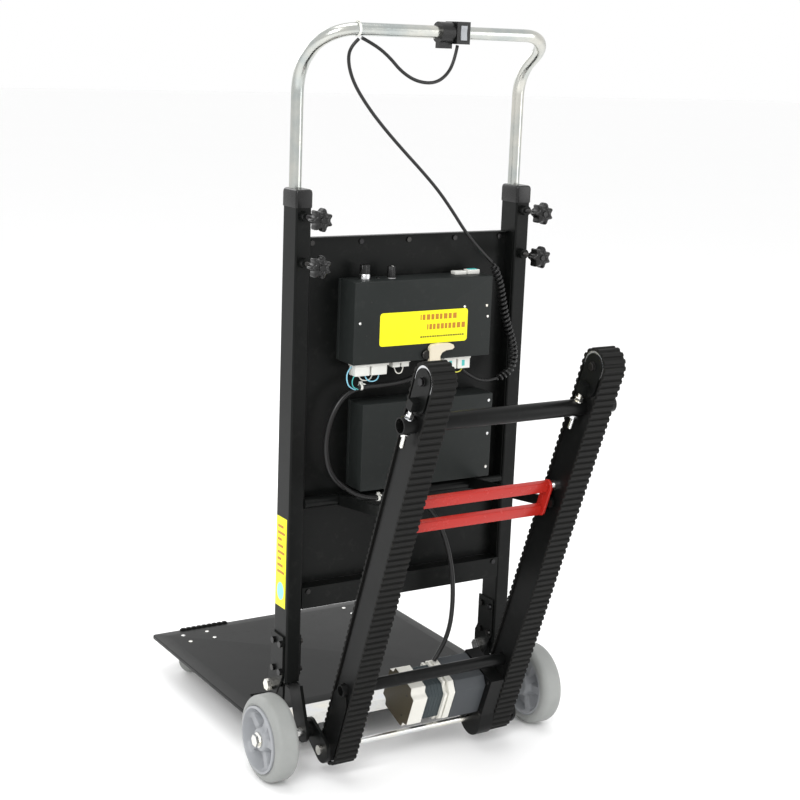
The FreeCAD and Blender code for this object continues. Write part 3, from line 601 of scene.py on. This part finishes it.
def curly(points):
    """A helix round a line: the radius swells from the wire's own path at both ends."""
    line = read_line(spline("coil_line", row(points), 0.0, 40)) * 1000
    gone = np.concatenate([[0], np.cumsum(np.linalg.norm(np.diff(line, axis=0), axis=1))])
    share = np.linspace(0, 1, COIL_TURNS * 12 + 1)
    even = np.stack([np.interp(share * gone[-1], gone, line[:, k]) for k in range(3)], -1)
    ahead = np.gradient(even, axis=0)
    ahead /= np.linalg.norm(ahead, axis=1)[:, None]
    side = np.cross(ahead, (0.0, 1.0, 0.0))
    side /= np.linalg.norm(side, axis=1)[:, None]
    other = np.cross(ahead, side)
    swell = COIL_RADIUS * np.clip(np.minimum(share, 1 - share) * 24, 0, 1)
    turn = share * COIL_TURNS * 2 * np.pi
    offset = side * np.cos(turn)[:, None] + other * np.sin(turn)[:, None]
    return (even + offset * swell[:, None]) / 1000


coil = curly(CORD_COIL)
helix = np.concatenate([coil, row(CORD_TAIL)[1:]])
cord("hand_cord_curl", helix, WIRE / 1000, "frame", "cord_coil")

# %% [markdown]
# ## The handle
# One zinc-plated tube, bent four times: up, back over the operator's hands, across, and the same
# again.  Sweeping a circle along runs joined by true arcs gives the even bends of a tube bender.

# %% Handle tube and its caps
HANDLE_ROUTE = [
    (232, -35.5, 701), (232, -35.5, 1270), (232, 60, 1341),
    (-232, 60, 1341), (-232, -35.5, 1270), (-232, -35.5, 701),
]


def ring(profile, centre, axis=0, count=48):
    """A lathe whose profile is itself a closed loop, so the middle stays open."""
    points, _ = turned(profile, centre, axis, count)
    return points, quads(len(profile), count, wrap_rows=True)


handle_line = arcs(HANDLE_ROUTE, (80, 60, 60, 80), 4.0)
piece("handle_bent_tube", sweep(handle_line, 11.0, 32), "zinc_tube", "handle", ("handle_tube",))


def cap(side):
    """A moulded cap: rounded rectangles stacked upwards, then rings round the tube's hole."""
    loops = []
    for z, grow in ((1036.9, 1.3), (1038.0, 1.5), (1062.0, 1.5), (1066.5, 0.6), (1068.4, -1.6)):
        line = rounded(15 + grow, 25 + grow, 4.5, 8)
        loops.append(np.column_stack([line[:, 0], line[:, 1] - 25, np.full(len(line), z)]))
    turn = np.arctan2(loops[-1][:, 1] + 35.5, loops[-1][:, 0])
    for z, radius in ((1068.4, 12.8), (1067.2, 11.3), (1045.0, 11.3)):
        x, y = radius * np.cos(turn), radius * np.sin(turn) - 35.5
        loops.append(np.column_stack([x, y, np.full(len(turn), z)]))
    points, faces = loft(loops)
    return points * (1, 1, 1) + (side * 232, 0, 0), faces


piece("upright_cap_mouldings", [cap(1), cap(-1)], "black_plastic", "frame", ("upright_caps",))

# %% [markdown]
# ## Clamp knobs
# A seven-lobed knob is a circle whose radius rises and falls seven times a turn.  Stacking that
# outline with a domed scale gives the moulding; the stud's thread is a saw-tooth lathe profile.

# %% Knobs


def lobed(y, scale, x, z, count=112):
    turn = np.linspace(0, 2 * np.pi, count, endpoint=False)
    radius = (17.5 + 2.7 * np.cos(7 * turn) + 0.5 * np.cos(14 * turn)) * scale
    return np.column_stack([x + radius * np.cos(turn), np.full(count, y), z + radius * np.sin(turn)])


def thread(start, end, radius, pitch=1.25):
    """A saw-tooth profile: (along, radius) pairs from start to end."""
    steps = int((end - start) / pitch * 2)
    along = np.linspace(start, end, steps + 1)
    height = radius - 0.45 * (np.arange(steps + 1) % 2)
    return np.vstack([[start, 0], np.column_stack([along, height]), [end, 0]])


def clamp_knob(x, z):
    stack = [(48, 0.70), (48.6, 0.86), (50.5, 0.97), (53, 1.0), (63, 1.0), (67, 0.97), (69.8, 0.88),
             (71.3, 0.72), (71.9, 0.50), (71.0, 0.44), (70.4, 0.30)]
    head = loft([lobed(y, scale, x, z) for y, scale in stack])
    neck = turned([(36, 0), (36, 7.6), (37, 8.6), (46, 9), (48.5, 11.5), (48.5, 0)], (x, 0, z), 1)
    return [head, neck]


for name, x, z in (("lu", 232, 1023), ("ll", 232, 942), ("ru", -232, 1023), ("rl", -232, 942)):
    node = "knob_" + {"l": "left", "r": "right"}[name[0]] + "_" + {"u": "upper", "l": "lower"}[name[1]]
    piece("clamp_" + node, clamp_knob(x, z), "black_plastic", "knob_" + name, (node,), angle=40)
    stud = turned(thread(-24, 36.5, 3.95), (x, 0, z), 1, 20)
    stud_cap = turned([(70, 0), (70, 5.2), (71.4, 5.2), (72.0, 4.4), (72.0, 0)], (x, 0, z), 1, 24)
    piece("clamp_stud_" + name, [stud], "black_plastic", "knob_" + name, finish="screw_dark")
    piece("clamp_centre_" + name, [stud_cap], "black_plastic", "knob_" + name)
print("knobs", 4)

# %% [markdown]
# ## Road wheels
# The tyre is a lathe profile with soft shoulders.  The hub's face is a height field over angle
# and radius: five windows are sunk between five spokes, with the rim's lip standing proud.

# %% Wheels
WHEEL_X = 291.7
AXLE = (29.7, 80.0)


def tyre_profile():
    t = np.linspace(0, np.pi / 2, 8)
    shoulder = np.column_stack([10 + 13 * np.cos(t), 66.5 + 13.4 * np.sin(t)])
    right = np.vstack([[20.5, 62.0], [22.2, 62.6], [22.6, 64.2], [22.2, 65.0], [22.9, 65.8], shoulder])
    left = right[::-1] * (-1, 1)
    return np.vstack([left, right])[::-1]


def hub_grid(count=180):
    """Closed rings: outer face outwards, then inner face inwards; x is the face's height."""
    outer_r = np.array([7.6, 12, 17, 19.6, 21, 23, 25, 27.5, 31, 35, 39, 43, 47, 50, 52.5, 54.5, 56.5,
                        57.4, 58.2, 60.6, 61.6, 61.9])
    outer_x = np.array([21.6, 22.4, 22.4, 22.2, 20.8, 17, 15.6, 15, 15, 15, 15, 15, 15, 15.4, 16, 18, 22.5,
                        25.6, 26.8, 26.8, 26.2, 24.4])
    inner_x = np.array([26.4, 26.4, 26.4, 26.0, 24.5, 18, 15.4, 15, 15, 15, 15, 15, 15, 15.2, 15.6, 17, 20,
                        21.4, 22, 22, 21.8, 21.0])
    turn = np.linspace(0, 2 * np.pi, count, endpoint=False)
    share = (turn * 5 / (2 * np.pi)) % 1
    r = outer_r[:, None]
    off_middle = np.abs(share - 0.5)[None, :] * 2 * np.pi / 5 * r
    window = np.clip((np.pi / 5 * r - 8.2 - off_middle) / 2.2, 0, 1)
    window *= np.clip((r - 23.5) / 3, 0, 1) * np.clip((54 - r) / 3, 0, 1)
    outer = outer_x[:, None] * (1 - window) + 4.2 * window
    inner = -(inner_x[:, None] * (1 - window) + 4.2 * window)
    x = np.vstack([outer, inner[::-1]])
    r = np.vstack([np.broadcast_to(r, outer.shape), np.broadcast_to(r, outer.shape)[::-1]])
    points = np.stack([x, r * np.cos(turn), r * np.sin(turn)], -1)
    return points.reshape(-1, 3), quads(len(x), count, wrap_rows=True)


for side, sign in (("left", 1), ("right", -1)):
    middle = np.array([WHEEL_X, *AXLE])
    tyre = ring(tyre_profile(), middle, 0, 96)
    hub_points, hub_faces = hub_grid()
    hub = (hub_points + middle, hub_faces)
    if sign < 0:
        tyre, hub = flipped(tyre), flipped(hub)
    piece("road_tyre_" + side, tyre, "grey_rubber", "wheel_" + side, ("wheel_tyre_" + side,))
    piece("road_hub_" + side, hub, "grey_plastic", "wheel_" + side, ("wheel_hub_" + side,), angle=50)
print("tyre radius", 79.9)

# %% [markdown]
# ## Belts
# A belt's centre line is two straight runs and two half circles.  Each point of that line knows
# its outward direction, so a rib is only a small step outwards, repeated every 13 mm.

# %% Ribbed belts
RIBS = 136
BELT_ROOT = 29.4


def belt(centre):
    """Distance along the loop -> place and outward direction; ribs raise the outer face."""
    within = np.array([0.0, 0.16, 0.25, 0.34, 0.66, 0.75, 0.84])
    height = np.array([0.0, 0.0, 2.2, 2.9, 2.9, 2.2, 0.0])
    share = ((np.arange(RIBS)[:, None] + within) / RIBS).ravel()
    rise = np.tile(height, RIBS)
    half_turn = math.pi * BELT_ROOT
    total = 2 * HEAD + 2 * half_turn
    s = share * total
    angle = np.select(
        [s < HEAD, s < HEAD + half_turn, s < 2 * HEAD + half_turn],
        [0 * s, (s - HEAD) / BELT_ROOT, 0 * s + np.pi],
        np.pi + (s - 2 * HEAD - half_turn) / BELT_ROOT)
    u = np.select(
        [s < HEAD, s < HEAD + half_turn, s < 2 * HEAD + half_turn],
        [s, 0 * s + HEAD, 2 * HEAD + half_turn - s], 0 * s)
    section_x = np.array([-22.8, -22.8, -22.0, 22.0, 22.8, 22.8])
    radius = np.stack([0 * rise + 26.7, BELT_ROOT + rise - 0.9, BELT_ROOT + rise,
                       BELT_ROOT + rise, BELT_ROOT + rise - 0.9, 0 * rise + 26.7], -1)
    v = np.cos(angle)[:, None] * radius
    along = u[:, None] + np.sin(angle)[:, None] * radius
    x = np.broadcast_to(centre + section_x, v.shape)
    points = np.stack([x, v, along], -1)
    return points.reshape(-1, 3), quads(len(s), 6, wrap_rows=True)


for side, sign in (("left", 1), ("right", -1)):
    piece("ribbed_belt_" + side, belt(sign * CRAWLER_X), "black_rubber", "crawlers", ("belt_" + side,),
          angle=24, place=on_crawler)

# %% Idler flange rings
for side, sign, body in (("left", 1, "idler_l"), ("right", -1, "idler_r")):
    flanges = []
    for x in (18.7, -21.5):
        profile = [(x, 22.6), (x, 26.3), (x + 2.8, 26.3), (x + 2.8, 22.6)]
        flanges.append(ring(profile, (sign * CRAWLER_X, 0, HEAD), 0, 64))
    piece("idler_flange_" + side, flanges, "bright_metal", body, place=on_crawler)

# %% [markdown]
# ## Crawler tubes, studs and nuts
# The upper tube carries the tension studs: a threaded rod through it, a nut above and below, and
# a lug on the sliding fork.

# %% Tubes, studs, nuts
tubes = [
    ring([(-217, 14.5), (-216.5, 14.7), (216.5, 14.7), (217, 14.5), (217, 12), (-217, 12)],
         (0, 0, 706), 0, 48),
    ring([(-201, 11.2), (-200.5, 11.4), (200.5, 11.4), (201, 11.2), (201, 9), (-201, 9)],
         (0, 2, 141), 0, 40),
]
piece("crawler_cross_tubes", tubes, "black_alloy", "crawlers", ("cross_tubes",), place=on_crawler)

hardware = []
for x in (CRAWLER_X + 31.6, CRAWLER_X - 31.6):
    hardware.append(turned(thread(664, 736, 3.95), (x, 0, 0), 2, 18))
    for low in (720.8, 684.4):
        hardware.append(prism(hexagon(13) + (x, 0), low, low + 6.8, 2, 0.8))
    hardware.append(turned([(719.2, 0), (719.2, 8.6), (720.7, 8.6), (720.7, 0)], (x, 0, 0), 2, 28))
    hardware.append(turned([(691.3, 0), (691.3, 8.4), (691.9, 8.4), (691.9, 0)], (x, 0, 0), 2, 28))
lever_stud = [(134.6, 0), (134.6, 5), (146.5, 5), (146.5, 9), (152, 9), (152, 0)]
hardware.append(turned(lever_stud, (0, -6, 537), 0, 28))
piece("tension_studs", pair(*hardware), "zinc", "crawlers", ("crawler_hardware",), place=on_crawler)

head_bolts = []
for x, direction in ((CRAWLER_X + 23.5, 1), (CRAWLER_X - 23.5, -1)):
    head_bolts += bolt((x, 0, HEAD), 0, direction, 13, 4.0, 8.0)
piece("idler_bolt_heads", pair(*head_bolts), "zinc", "crawlers", finish="screw_dark", place=on_crawler)

# %% [markdown]
# ## Motor and gearbox
# Both are square castings bolted end to end: a brown end face on an ivory bell whose corners are
# scalloped for its bolts, a dark laminated stator, an ivory double flange and a painted gearbox.

# %% Motor
MOTOR_U, MOTOR_V = 62.0, -30.0


def cut_square(side, cut):
    """An eight-sided outline about the motor's axis, as (v, u) pairs."""
    h = side / 2
    c = h - cut
    line = [(-h, -c), (-c, -h), (c, -h), (h, -c), (h, c), (c, h), (-c, h), (-h, c)]
    return np.array(line) + (MOTOR_V, MOTOR_U)


def scalloped(side, cut, dip):
    """The same square with a hollow, bolt-sized scallop at each corner."""
    h = side / 2
    c = h - cut
    t = np.linspace(0, 1, 13)[:, None]
    corners = []
    for a, b in (((h, -c), (c, -h)), ((-c, -h), (-h, -c)), ((-h, c), (-c, h)), ((c, h), (h, c))):
        a, b = np.array(a, float), np.array(b, float)
        inward = -(a + b) / np.linalg.norm(a + b)
        corners.append(a + (b - a) * t + inward * dip * np.sin(np.pi * t) ** 2)
    return np.concatenate(corners) + (MOTOR_V, MOTOR_U)


# Dark discs over the end face's four bolt holes: painted shade standing in for the holes' dark insides.
end_hole_shades = []
for dv in (-24, 24):
    for du in (-24, 24):
        place = (0, MOTOR_V + dv, MOTOR_U + du)
        end_hole_shades.append(turned([(42.6, 0), (42.6, 2.2), (43.1, 2.2), (43.1, 0)], place, 0, 20))
piece("motor_end_face", [prism(scalloped(91.4, 16, 5), 42.3, 43, 0, 0.3)], "raw_alloy", "crawlers",
      ("motor",), finish="end_brown", place=on_crawler)
piece("motor_end_holes_painted_shade", end_hole_shades, "raw_alloy", "crawlers", finish="screw_dark", place=on_crawler)
piece("motor_bell", [prism(scalloped(92, 16, 5), 11, 42.3, 0, 0.8)], "raw_alloy", "crawlers",
      finish="ivory", place=on_crawler)
stack = []
for k in range(11):
    low = -27 + k * 3.45
    stack.append(prism(cut_square(83 - 0.8 * (k % 2), 15), low, low + 3.4, 0, 0.25))
piece("motor_stator", stack, "raw_alloy", "crawlers", finish="stator", place=on_crawler)
flanges = [prism(scalloped(94, 18, 7), -33, -27.1, 0, 0.8), prism(cut_square(94, 16), -49.9, -36, 0, 1.2),
           prism(cut_square(82, 17), -36.1, -32.9, 0, 0.3)]
piece("motor_flanges", flanges, "raw_alloy", "crawlers", finish="ivory", place=on_crawler)
gearbox = [prism(cut_square(94, 14), -117.9, -50.1, 0, 1.2)]
piece("gearbox_casting", gearbox, "grey_alloy", "crawlers", ("gearbox",), place=on_crawler)
cover_bolts = []
for v, u in ((-60, 100), (20, 104), (24, 30), (-28, 16), (-62, 48)):
    cover_bolts += bolt((-118.0, v, u), 0, 1, 7, 2.4)
piece("gear_case_bolts", cover_bolts, "grey_alloy", "crawlers", finish="screw_dark", place=on_crawler)

# %% [markdown]
# ## Release lever
# Two red bars between two plates; the lever rocks the crawlers free of the stay.

# %% Lever


def slot_outline(u_low, u_high, radius, v=-6.0, steps=10):
    """A flat link's outline: two half circles and the straight sides between."""
    t = np.linspace(0, np.pi, steps)
    top = np.column_stack([v + radius * np.cos(t), u_high + radius * np.sin(t)])
    low = np.column_stack([v - radius * np.cos(t), u_low - radius * np.sin(t)])
    return np.vstack([top, low])


lever = [block((-134, -12, u - 10), (134, 0, u + 10), 1.6, 0) for u in (537, 487)]
lever += pair(prism(slot_outline(487, 537, 12), 133.9, 139, 0, 0.8))
piece("release_lever_frame", lever, "red_paint", "crawlers", ("release_lever",), place=on_crawler)
pins = [turned([(138.9, 0), (138.9, 4), (149.2, 4), (150, 3.2), (150, 0)], (0, -6, 487), 0, 24)]
pins += bolt((133.9, -6, 487), 0, -1, 10, 3.0)
piece("release_lever_pins", pair(*pins), "red_paint", "crawlers", finish="screw_dark", place=on_crawler)

# %% [markdown]
# ## Toe plate
# A folded steel plate: flat in the middle, its border dipping to a turned-down edge.  The two
# cheeks that carry the hinge are welded to it.

# %% Toe plate
def toe_sheet():
    """Rectangles stacked from the underside, round the edge, to the flat middle."""
    loops = []
    edge = ((3.2, 67.6), (0.2, 67.6), (0, 68.4), (0, 73.4), (0.8, 74.8), (2.4, 75.3),
            (25, 77.3), (26.5, 77.45))
    for inset, z in edge:
        line = rounded(276 - inset, 235 - inset, max(6 - inset * 0.2, 1.5), 6)
        line[:, 1] = np.minimum(line[:, 1] - 314, -79.1)
        loops.append(np.column_stack([line, np.full(len(line), z)]))
    under = loops[0].copy()
    under[:, 2] = 74.5
    return loft([under] + loops)


def cheek():
    turn = np.linspace(np.pi, 0, 14)
    arch = np.column_stack([-45 + 12 * np.cos(turn), 149 + 12 * np.sin(turn)])
    line = np.vstack([arch, [(-33, 129), (-36, 77.3), (-168, 77.3), (-57, 129)]])
    return prism(line, 229.6, 234.4, 0, 0.8)


hinge_sleeve = ring([(217.6, 9), (246.4, 9), (246.4, 6.1), (217.6, 6.1)], (0, -45, 149), 0, 32)
toe_parts = [toe_sheet()] + pair(cheek(), hinge_sleeve)
piece("toe_plate_folded", toe_parts, "black_frame", "toe", ("toe_plate",), angle=25)
RIVET = [(76.6, 0), (76.6, 4.5), (78.4, 4.3), (79.4, 3.0), (79.7, 0)]
rivets = []
for x in (195, -195):
    for dx in (-27.5, 27.5):
        for dy in (-19, 19):
            rivets.append(turned(RIVET, (x + dx, -490 + dy, 0), 2, 20))
piece("caster_rivets", rivets, "zinc", "toe", ("toe_rivets",))
grips = []
for k in range(9):
    x = 106 + k * 12
    grips.append(block((x, -548.2, 75.4), (x + 9, -541, 79.6), 1.2, 0))
grips.append(block((104, -548.4, 75.2), (214, -540.6, 78.0), 1.2, 0))
piece("toe_nose_strip", grips, "black_rubber", "toe", ("toe_nose",))

# %% [markdown]
# ## Battery box and controller
# Folded steel boxes with a lid whose edge shows as a thin shadow line, held with small screws.

# %% Boxes


def screws(places, axis, direction, radius=3.4, high=1.6):
    """Pan heads: a low dome with a shallow cross recess suggested by a ring."""
    parts = []
    for place in places:
        base = place[axis]
        rest = np.asarray(place, float) * (np.arange(3) != axis)
        profile = [(base, 0), (base, radius), (base + direction * high * 0.5, radius),
                   (base + direction * high, radius * 0.62), (base + direction * high, radius * 0.34),
                   (base + direction * high * 0.55, radius * 0.28), (base + direction * high * 0.55, 0)]
        parts.append(turned(profile, rest, axis, 20))
    return parts


def lidded(low, high, lid=3.0):
    """A tray and the cover over it, 0.8 mm apart, so that the seam is a real gap."""
    low, high = np.asarray(low, float), np.asarray(high, float)
    seam = low[1] + 9.0
    tray = block(low + (0.8, 0, 0.8), (high[0] - 0.8, seam, high[2] - 0.8), 1.2, 1)
    cover = block((low[0], seam + 0.8, low[2]), high, 1.8, 1)
    core = block(low + (3, 1, 3), high - (3, 3, 3), 0.8, 1)
    return [tray, cover, core]


piece("battery_box", lidded((-164, -27.9, 523), (118, 29.6, 684.6)), "black_case", "frame", ("battery_case",))
piece("controller_box", lidded((-146, -27.9, 759.8), (146, 36.5, 908.3)), "black_case", "frame",
      ("controller_case",))
box_screws = screws([(-155, 29.6, z) for z in (542, 607, 671)], 1, 1, 2.9)
for place in ((134.5, 36.5, 835), (-138, 36.5, 833), (-135, 36.5, 853.5), (-86, 36.5, 854)):
    box_screws += screws([place], 1, 1, 2.6)
piece("box_screws", box_screws, "zinc", "frame")
# Three dark discs on the cover: painted shade standing in for open holes.
box_hole_shades = [turned([(36.3, 0), (36.3, 1.5), (36.62, 1.5), (36.62, 0)], (x, 0, z), 1, 16)
         for x, z in ((-127, 800), (120, 812), (112, 872))]
piece("box_holes_painted_shade", box_hole_shades, "black_case", "frame", finish="screw_dark")

# %% Label with plain bars instead of words
def bars(x_from, x_to, z_rows, y, height, seed, step=(7.5, 11.0)):
    """Short printed bars in rows: a label's look without any lettering."""
    rng = np.random.default_rng(seed)
    parts = []
    for z in z_rows:
        x = x_from
        while x < x_to:
            width = rng.uniform(*step)
            far = (min(x + width * 0.72, x_to), y + 0.12, z + height / 2)
            parts.append(block((x, y, z - height / 2), far, 0.3, 1))
            x += width
    return parts


label = rounded(30.2, 93.5, 6.0, 8) + (820.7, 0)
piece("controller_label", prism(label, 36.52, 36.8, 1, 0.08), "black_case", "frame", finish="label_yellow")
ink = bars(-69, 9, (839,), 36.8, 10, 4) + bars(-88, -6, (821,), 36.8, 10, 5)
fine_print = bars(-86, 8, (803,), 36.8, 3, 6, (4, 6))
piece("controller_label_bars", ink, "black_case", "frame", finish="label_ink")
piece("controller_label_fine", fine_print, "black_case", "frame", finish="label_dark")
piece("upright_sticker", block((247.02, -46, 306), (247.3, -8, 476), 0.2, 0), "black_frame", "frame",
      finish="label_yellow")
marks = []
for k, z in enumerate(np.linspace(372, 458, 8)):
    marks.append(block((247.3, -41, z - 2.6), (247.42, -14 - 6 * (k % 3), z + 2.6), 0.3, 0))
piece("upright_sticker_bars", marks, "black_frame", "frame", finish="label_ink")
oval = turned([(247.3, 0), (247.3, 14), (247.45, 14), (247.45, 0)], (0, 0, 0), 0, 40)
piece("upright_sticker_oval", (oval[0] * (1, 0.9, 1.2) + (0, -27, 336), oval[1]), "black_frame", "frame",
      finish="label_blue")

# %% Key, dial, lamp and connectors
KEY_X = 108
key_top = turned([(908.4, 0), (908.4, 10.5), (916.2, 10.5), (918.2, 9.4), (918.3, 0)], (KEY_X, 2, 0), 2, 36)
piece("key_collar_ring", key_top, "bright_metal", "frame", ("key_collar",))
flute = np.linspace(0, 2 * np.pi, 96, endpoint=False)


def fluted(z, radius, x, y=2.0, depth=0.5, count=16):
    r = radius - depth * (1 - np.abs(np.cos(flute * count / 2)))
    return np.column_stack([x + r * np.cos(flute), y + r * np.sin(flute), np.full(96, z)])


key_cap = loft([fluted(z, r, KEY_X) for z, r in ((918.7, 8.6), (919.5, 9.5), (932.6, 9.3), (934.2, 8.2))])
key_blade = block((106.6, -5, 931), (109.4, 9, 934.6), 0.6, 2)
piece("key_switch_cap", [key_cap, key_blade], "black_plastic", "key", ("key_switch",))
dial = loft([fluted(909.4, 7.2, 53), fluted(910.4, 7.9, 53), fluted(928, 7.2, 53), fluted(929.8, 6.0, 53)])
pointer = block((52.4, 3, 929.2), (53.6, 8.6, 930.2), 0.3, 2)
piece("speed_dial_knob", [dial], "black_plastic", "dial", ("speed_dial",))
piece("speed_dial_pointer", [pointer], "white_plastic", "dial")
washer = turned([(908.35, 0), (908.35, 10.2), (909.0, 9.8), (909.0, 0)], (53, 2, 0), 2, 32)
piece("dial_washer", washer, "bright_metal", "frame")
lamp = turned([(908.3, 0), (908.3, 3.4), (909.6, 3.2), (910.4, 2.0), (910.6, 0)], (80, 2, 0), 2, 24)
piece("ready_lamp", lamp, "black_plastic", "frame")

PLUGS = [
    ((70, 6, 737.5), (102, 28, 757), 1.2),
    ((106, 6, 737.5), (136, 28, 757), 1.2),
    ((67, 4, 755), (137.5, 30, 759.7), 0.8),
    ((22, 9, 748), (38, 25, 757), 0.8),
    ((41, 9, 748), (56, 25, 757), 0.8),
    ((20, 8, 756), (57, 26, 759.7), 0.6),
    ((-110, 9, 736), (-84, 27, 757), 1.2),
    ((-80, 9, 736), (-54, 27, 757), 1.2),
    ((-111, 8, 755), (-52, 28, 759.7), 0.6),
    ((-134, -6, 908.4), (-108, 10, 916.6), 1.0),
    ((-105, -6, 908.4), (-80, 10, 914.6), 1.0),
]
plugs = [block(low, high, radius, 2) for low, high, radius in PLUGS]
piece("white_connectors", plugs, "white_plastic", "frame", ("connectors",))
keys = [block((x, 26.6, 741), (x + 6, 27.6, 752), 0.4, 1) for x in (-98, -70)]
keys.append(block((-130, -4, 916.4), (-113, 8, 917.4), 0.3, 2))
piece("teal_keys", keys,
      "white_plastic", "frame", finish="teal")
hook = [(757, -10), (757, -32), (766, -31), (773, -35), (777, -44), (778, -58), (781, -62),
        (786, -60), (789.5, -52), (790.5, -30), (789, -14), (784, -9)]
latch = prism(hook, 36.6, 46, 1, 1.2)
piece("latch_cream", latch, "white_plastic", "frame", finish="cream")
button = turned([(36.6, 0), (36.6, 9), (41, 8.8), (42.4, 7.6), (42.4, 0)], (-5, 0, 770), 1, 28)
piece("latch_button", button, "white_plastic", "frame", finish="screw_dark")
WIRES = [
    ("wire_loop_blue", "wire_blue", 2.4,
     [(136, 14, 754), (147, 18, 746), (149, 20, 730), (142, 20, 716), (127, 17, 711)]),
    ("wire_loop_green", "teal", 1.8,
     [(129, 20, 743), (138, 23, 735), (140, 24, 725), (135, 22, 716), (124, 19, 712)]),
    ("wire_dip_blue", "wire_blue", 2.2,
     [(80, 17, 743), (82, 20, 729), (96, 22, 724), (110, 20, 729), (112, 17, 743)]),
    ("wire_dip_pale", "ivory", 2.2,
     [(92, 14, 743), (95, 17, 730), (108, 18, 726), (121, 17, 730), (124, 14, 743)]),
    ("wire_short_pale", "ivory", 2.0,
     [(29, 16, 750), (31, 18, 738), (39, 19, 734), (47, 18, 738), (49, 16, 750)]),
    ("wire_dip_yellow", "wire_yellow", 2.0,
     [(-102, 16, 742), (-99, 18, 731), (-87, 19, 727), (-75, 18, 731), (-72, 16, 742)]),
]
for name, shade, thick, route in WIRES:
    cord(name, row(route), thick / 1000, "frame", None, shade)

# %% [markdown]
# ## Ties
# White nylon ties hold the cables; each is a thin band with a square head and a short tail.

# %% Ties


def tie(centre, radius, along):
    """A band round a cable whose run is along x (0) or z (2)."""
    c = np.asarray(centre, float)
    inner, outer = radius + 0.1, radius + 1.2
    band = ring([(-2.2, outer), (2.2, outer), (2.2, inner), (-2.2, inner)], (0, 0, 0), along, 28)
    if along == 0:
        head = block((-2.8, -2.6, radius + 0.4), (2.8, 2.6, radius + 5.2), 0.6, 2)
        tail = block((-2.0, 1.8, radius + 1.8), (2.0, 15, radius + 3.0), 0.4, 1)
    else:
        head = block((-2.6, radius + 0.4, -2.8), (2.6, radius + 5.2, 2.8), 0.6, 1)
        tail = block((-2.0, radius + 1.8, 1.8), (2.0, radius + 3.0, 14), 0.4, 2)
    return [(part[0] + c, part[1]) for part in (band, head, tail)]


ties = tie((116, 14, 715), 5.2, 0) + tie((75, 20.6, 505.4), 5.2, 0)
piece("cable_ties", ties, "white_plastic", "frame")
piece("crossbar_tie", tie((172, 60, 1341), 11.1, 0), "white_plastic", "handle")

# %% [markdown]
# ## Finishes on the carried-over parts, and the studio
# Parts whose solid already has its real shape only need a finish.  The floor is a wide pale plane,
# and four large soft lights and a white world keep the blacks readable.

# %% Finishes on the solids
record = frame["record"]
slots = {part["node"]: part["material_slot"] for part in record["subparts"]}
for name, thing in nodes.items():
    thing.data.materials.clear()
    special = EXTRA["screw_dark"] if name == "frame_screws" else FINISHES[slots[name]]
    thing.data.materials.append(special)

# %% Studio
def studio_floor():
    """A flat square at z = 0, 30 m from the middle to each side."""
    f = Finish("studio_floor")
    shade = f.mix(f.noise(0.8, 2), (0.97, 0.97, 0.97), (0.98, 0.98, 0.98))
    material = f.surface(Base_Color=shade, Roughness=0.65)
    mesh = bpy.data.meshes.new("studio_floor")
    size = 30.0
    corners = [(-size, -size, 0), (size, -size, 0), (size, size, 0), (-size, size, 0)]
    mesh.from_pydata(corners, [], [(0, 1, 2, 3)])
    mesh.materials.append(material)
    thing = bpy.data.objects.new("studio_floor", mesh)
    scene.collection.objects.link(thing)


def softbox(name, place, size, power, target=(0, 0, 0.65)):
    light = bpy.data.lights.new(name, "AREA")
    light.shape = "RECTANGLE"
    light.size, light.size_y = size
    light.energy = power
    thing = bpy.data.objects.new(name, light)
    scene.collection.objects.link(thing)
    back = np.asarray(place, float) - target
    back /= np.linalg.norm(back)
    right = np.cross((0, 0, 1.0), back)
    right /= np.linalg.norm(right)
    pose = np.eye(4)
    pose[:3, 0], pose[:3, 1], pose[:3, 2], pose[:3, 3] = right, np.cross(back, right), back, place
    thing.matrix_world = Matrix(pose.tolist())


studio_floor()
softbox("key", (3.2, 3.0, 3.4), (2.0, 2.4), 120)
softbox("fill", (-3.2, 3.4, 1.6), (1.6, 3.0), 40)
softbox("top", (0.0, 0.2, 4.2), (2.4, 2.4), 40)
softbox("back", (0.6, -3.6, 2.4), (3.0, 2.0), 40)
world = bpy.data.worlds.new("studio")
world.use_nodes = True
world.node_tree.nodes["Background"].inputs["Color"].default_value = (1, 1, 1, 1)
world.node_tree.nodes["Background"].inputs["Strength"].default_value = 1.0
scene.world = world
scene.view_settings.view_transform = "Standard"
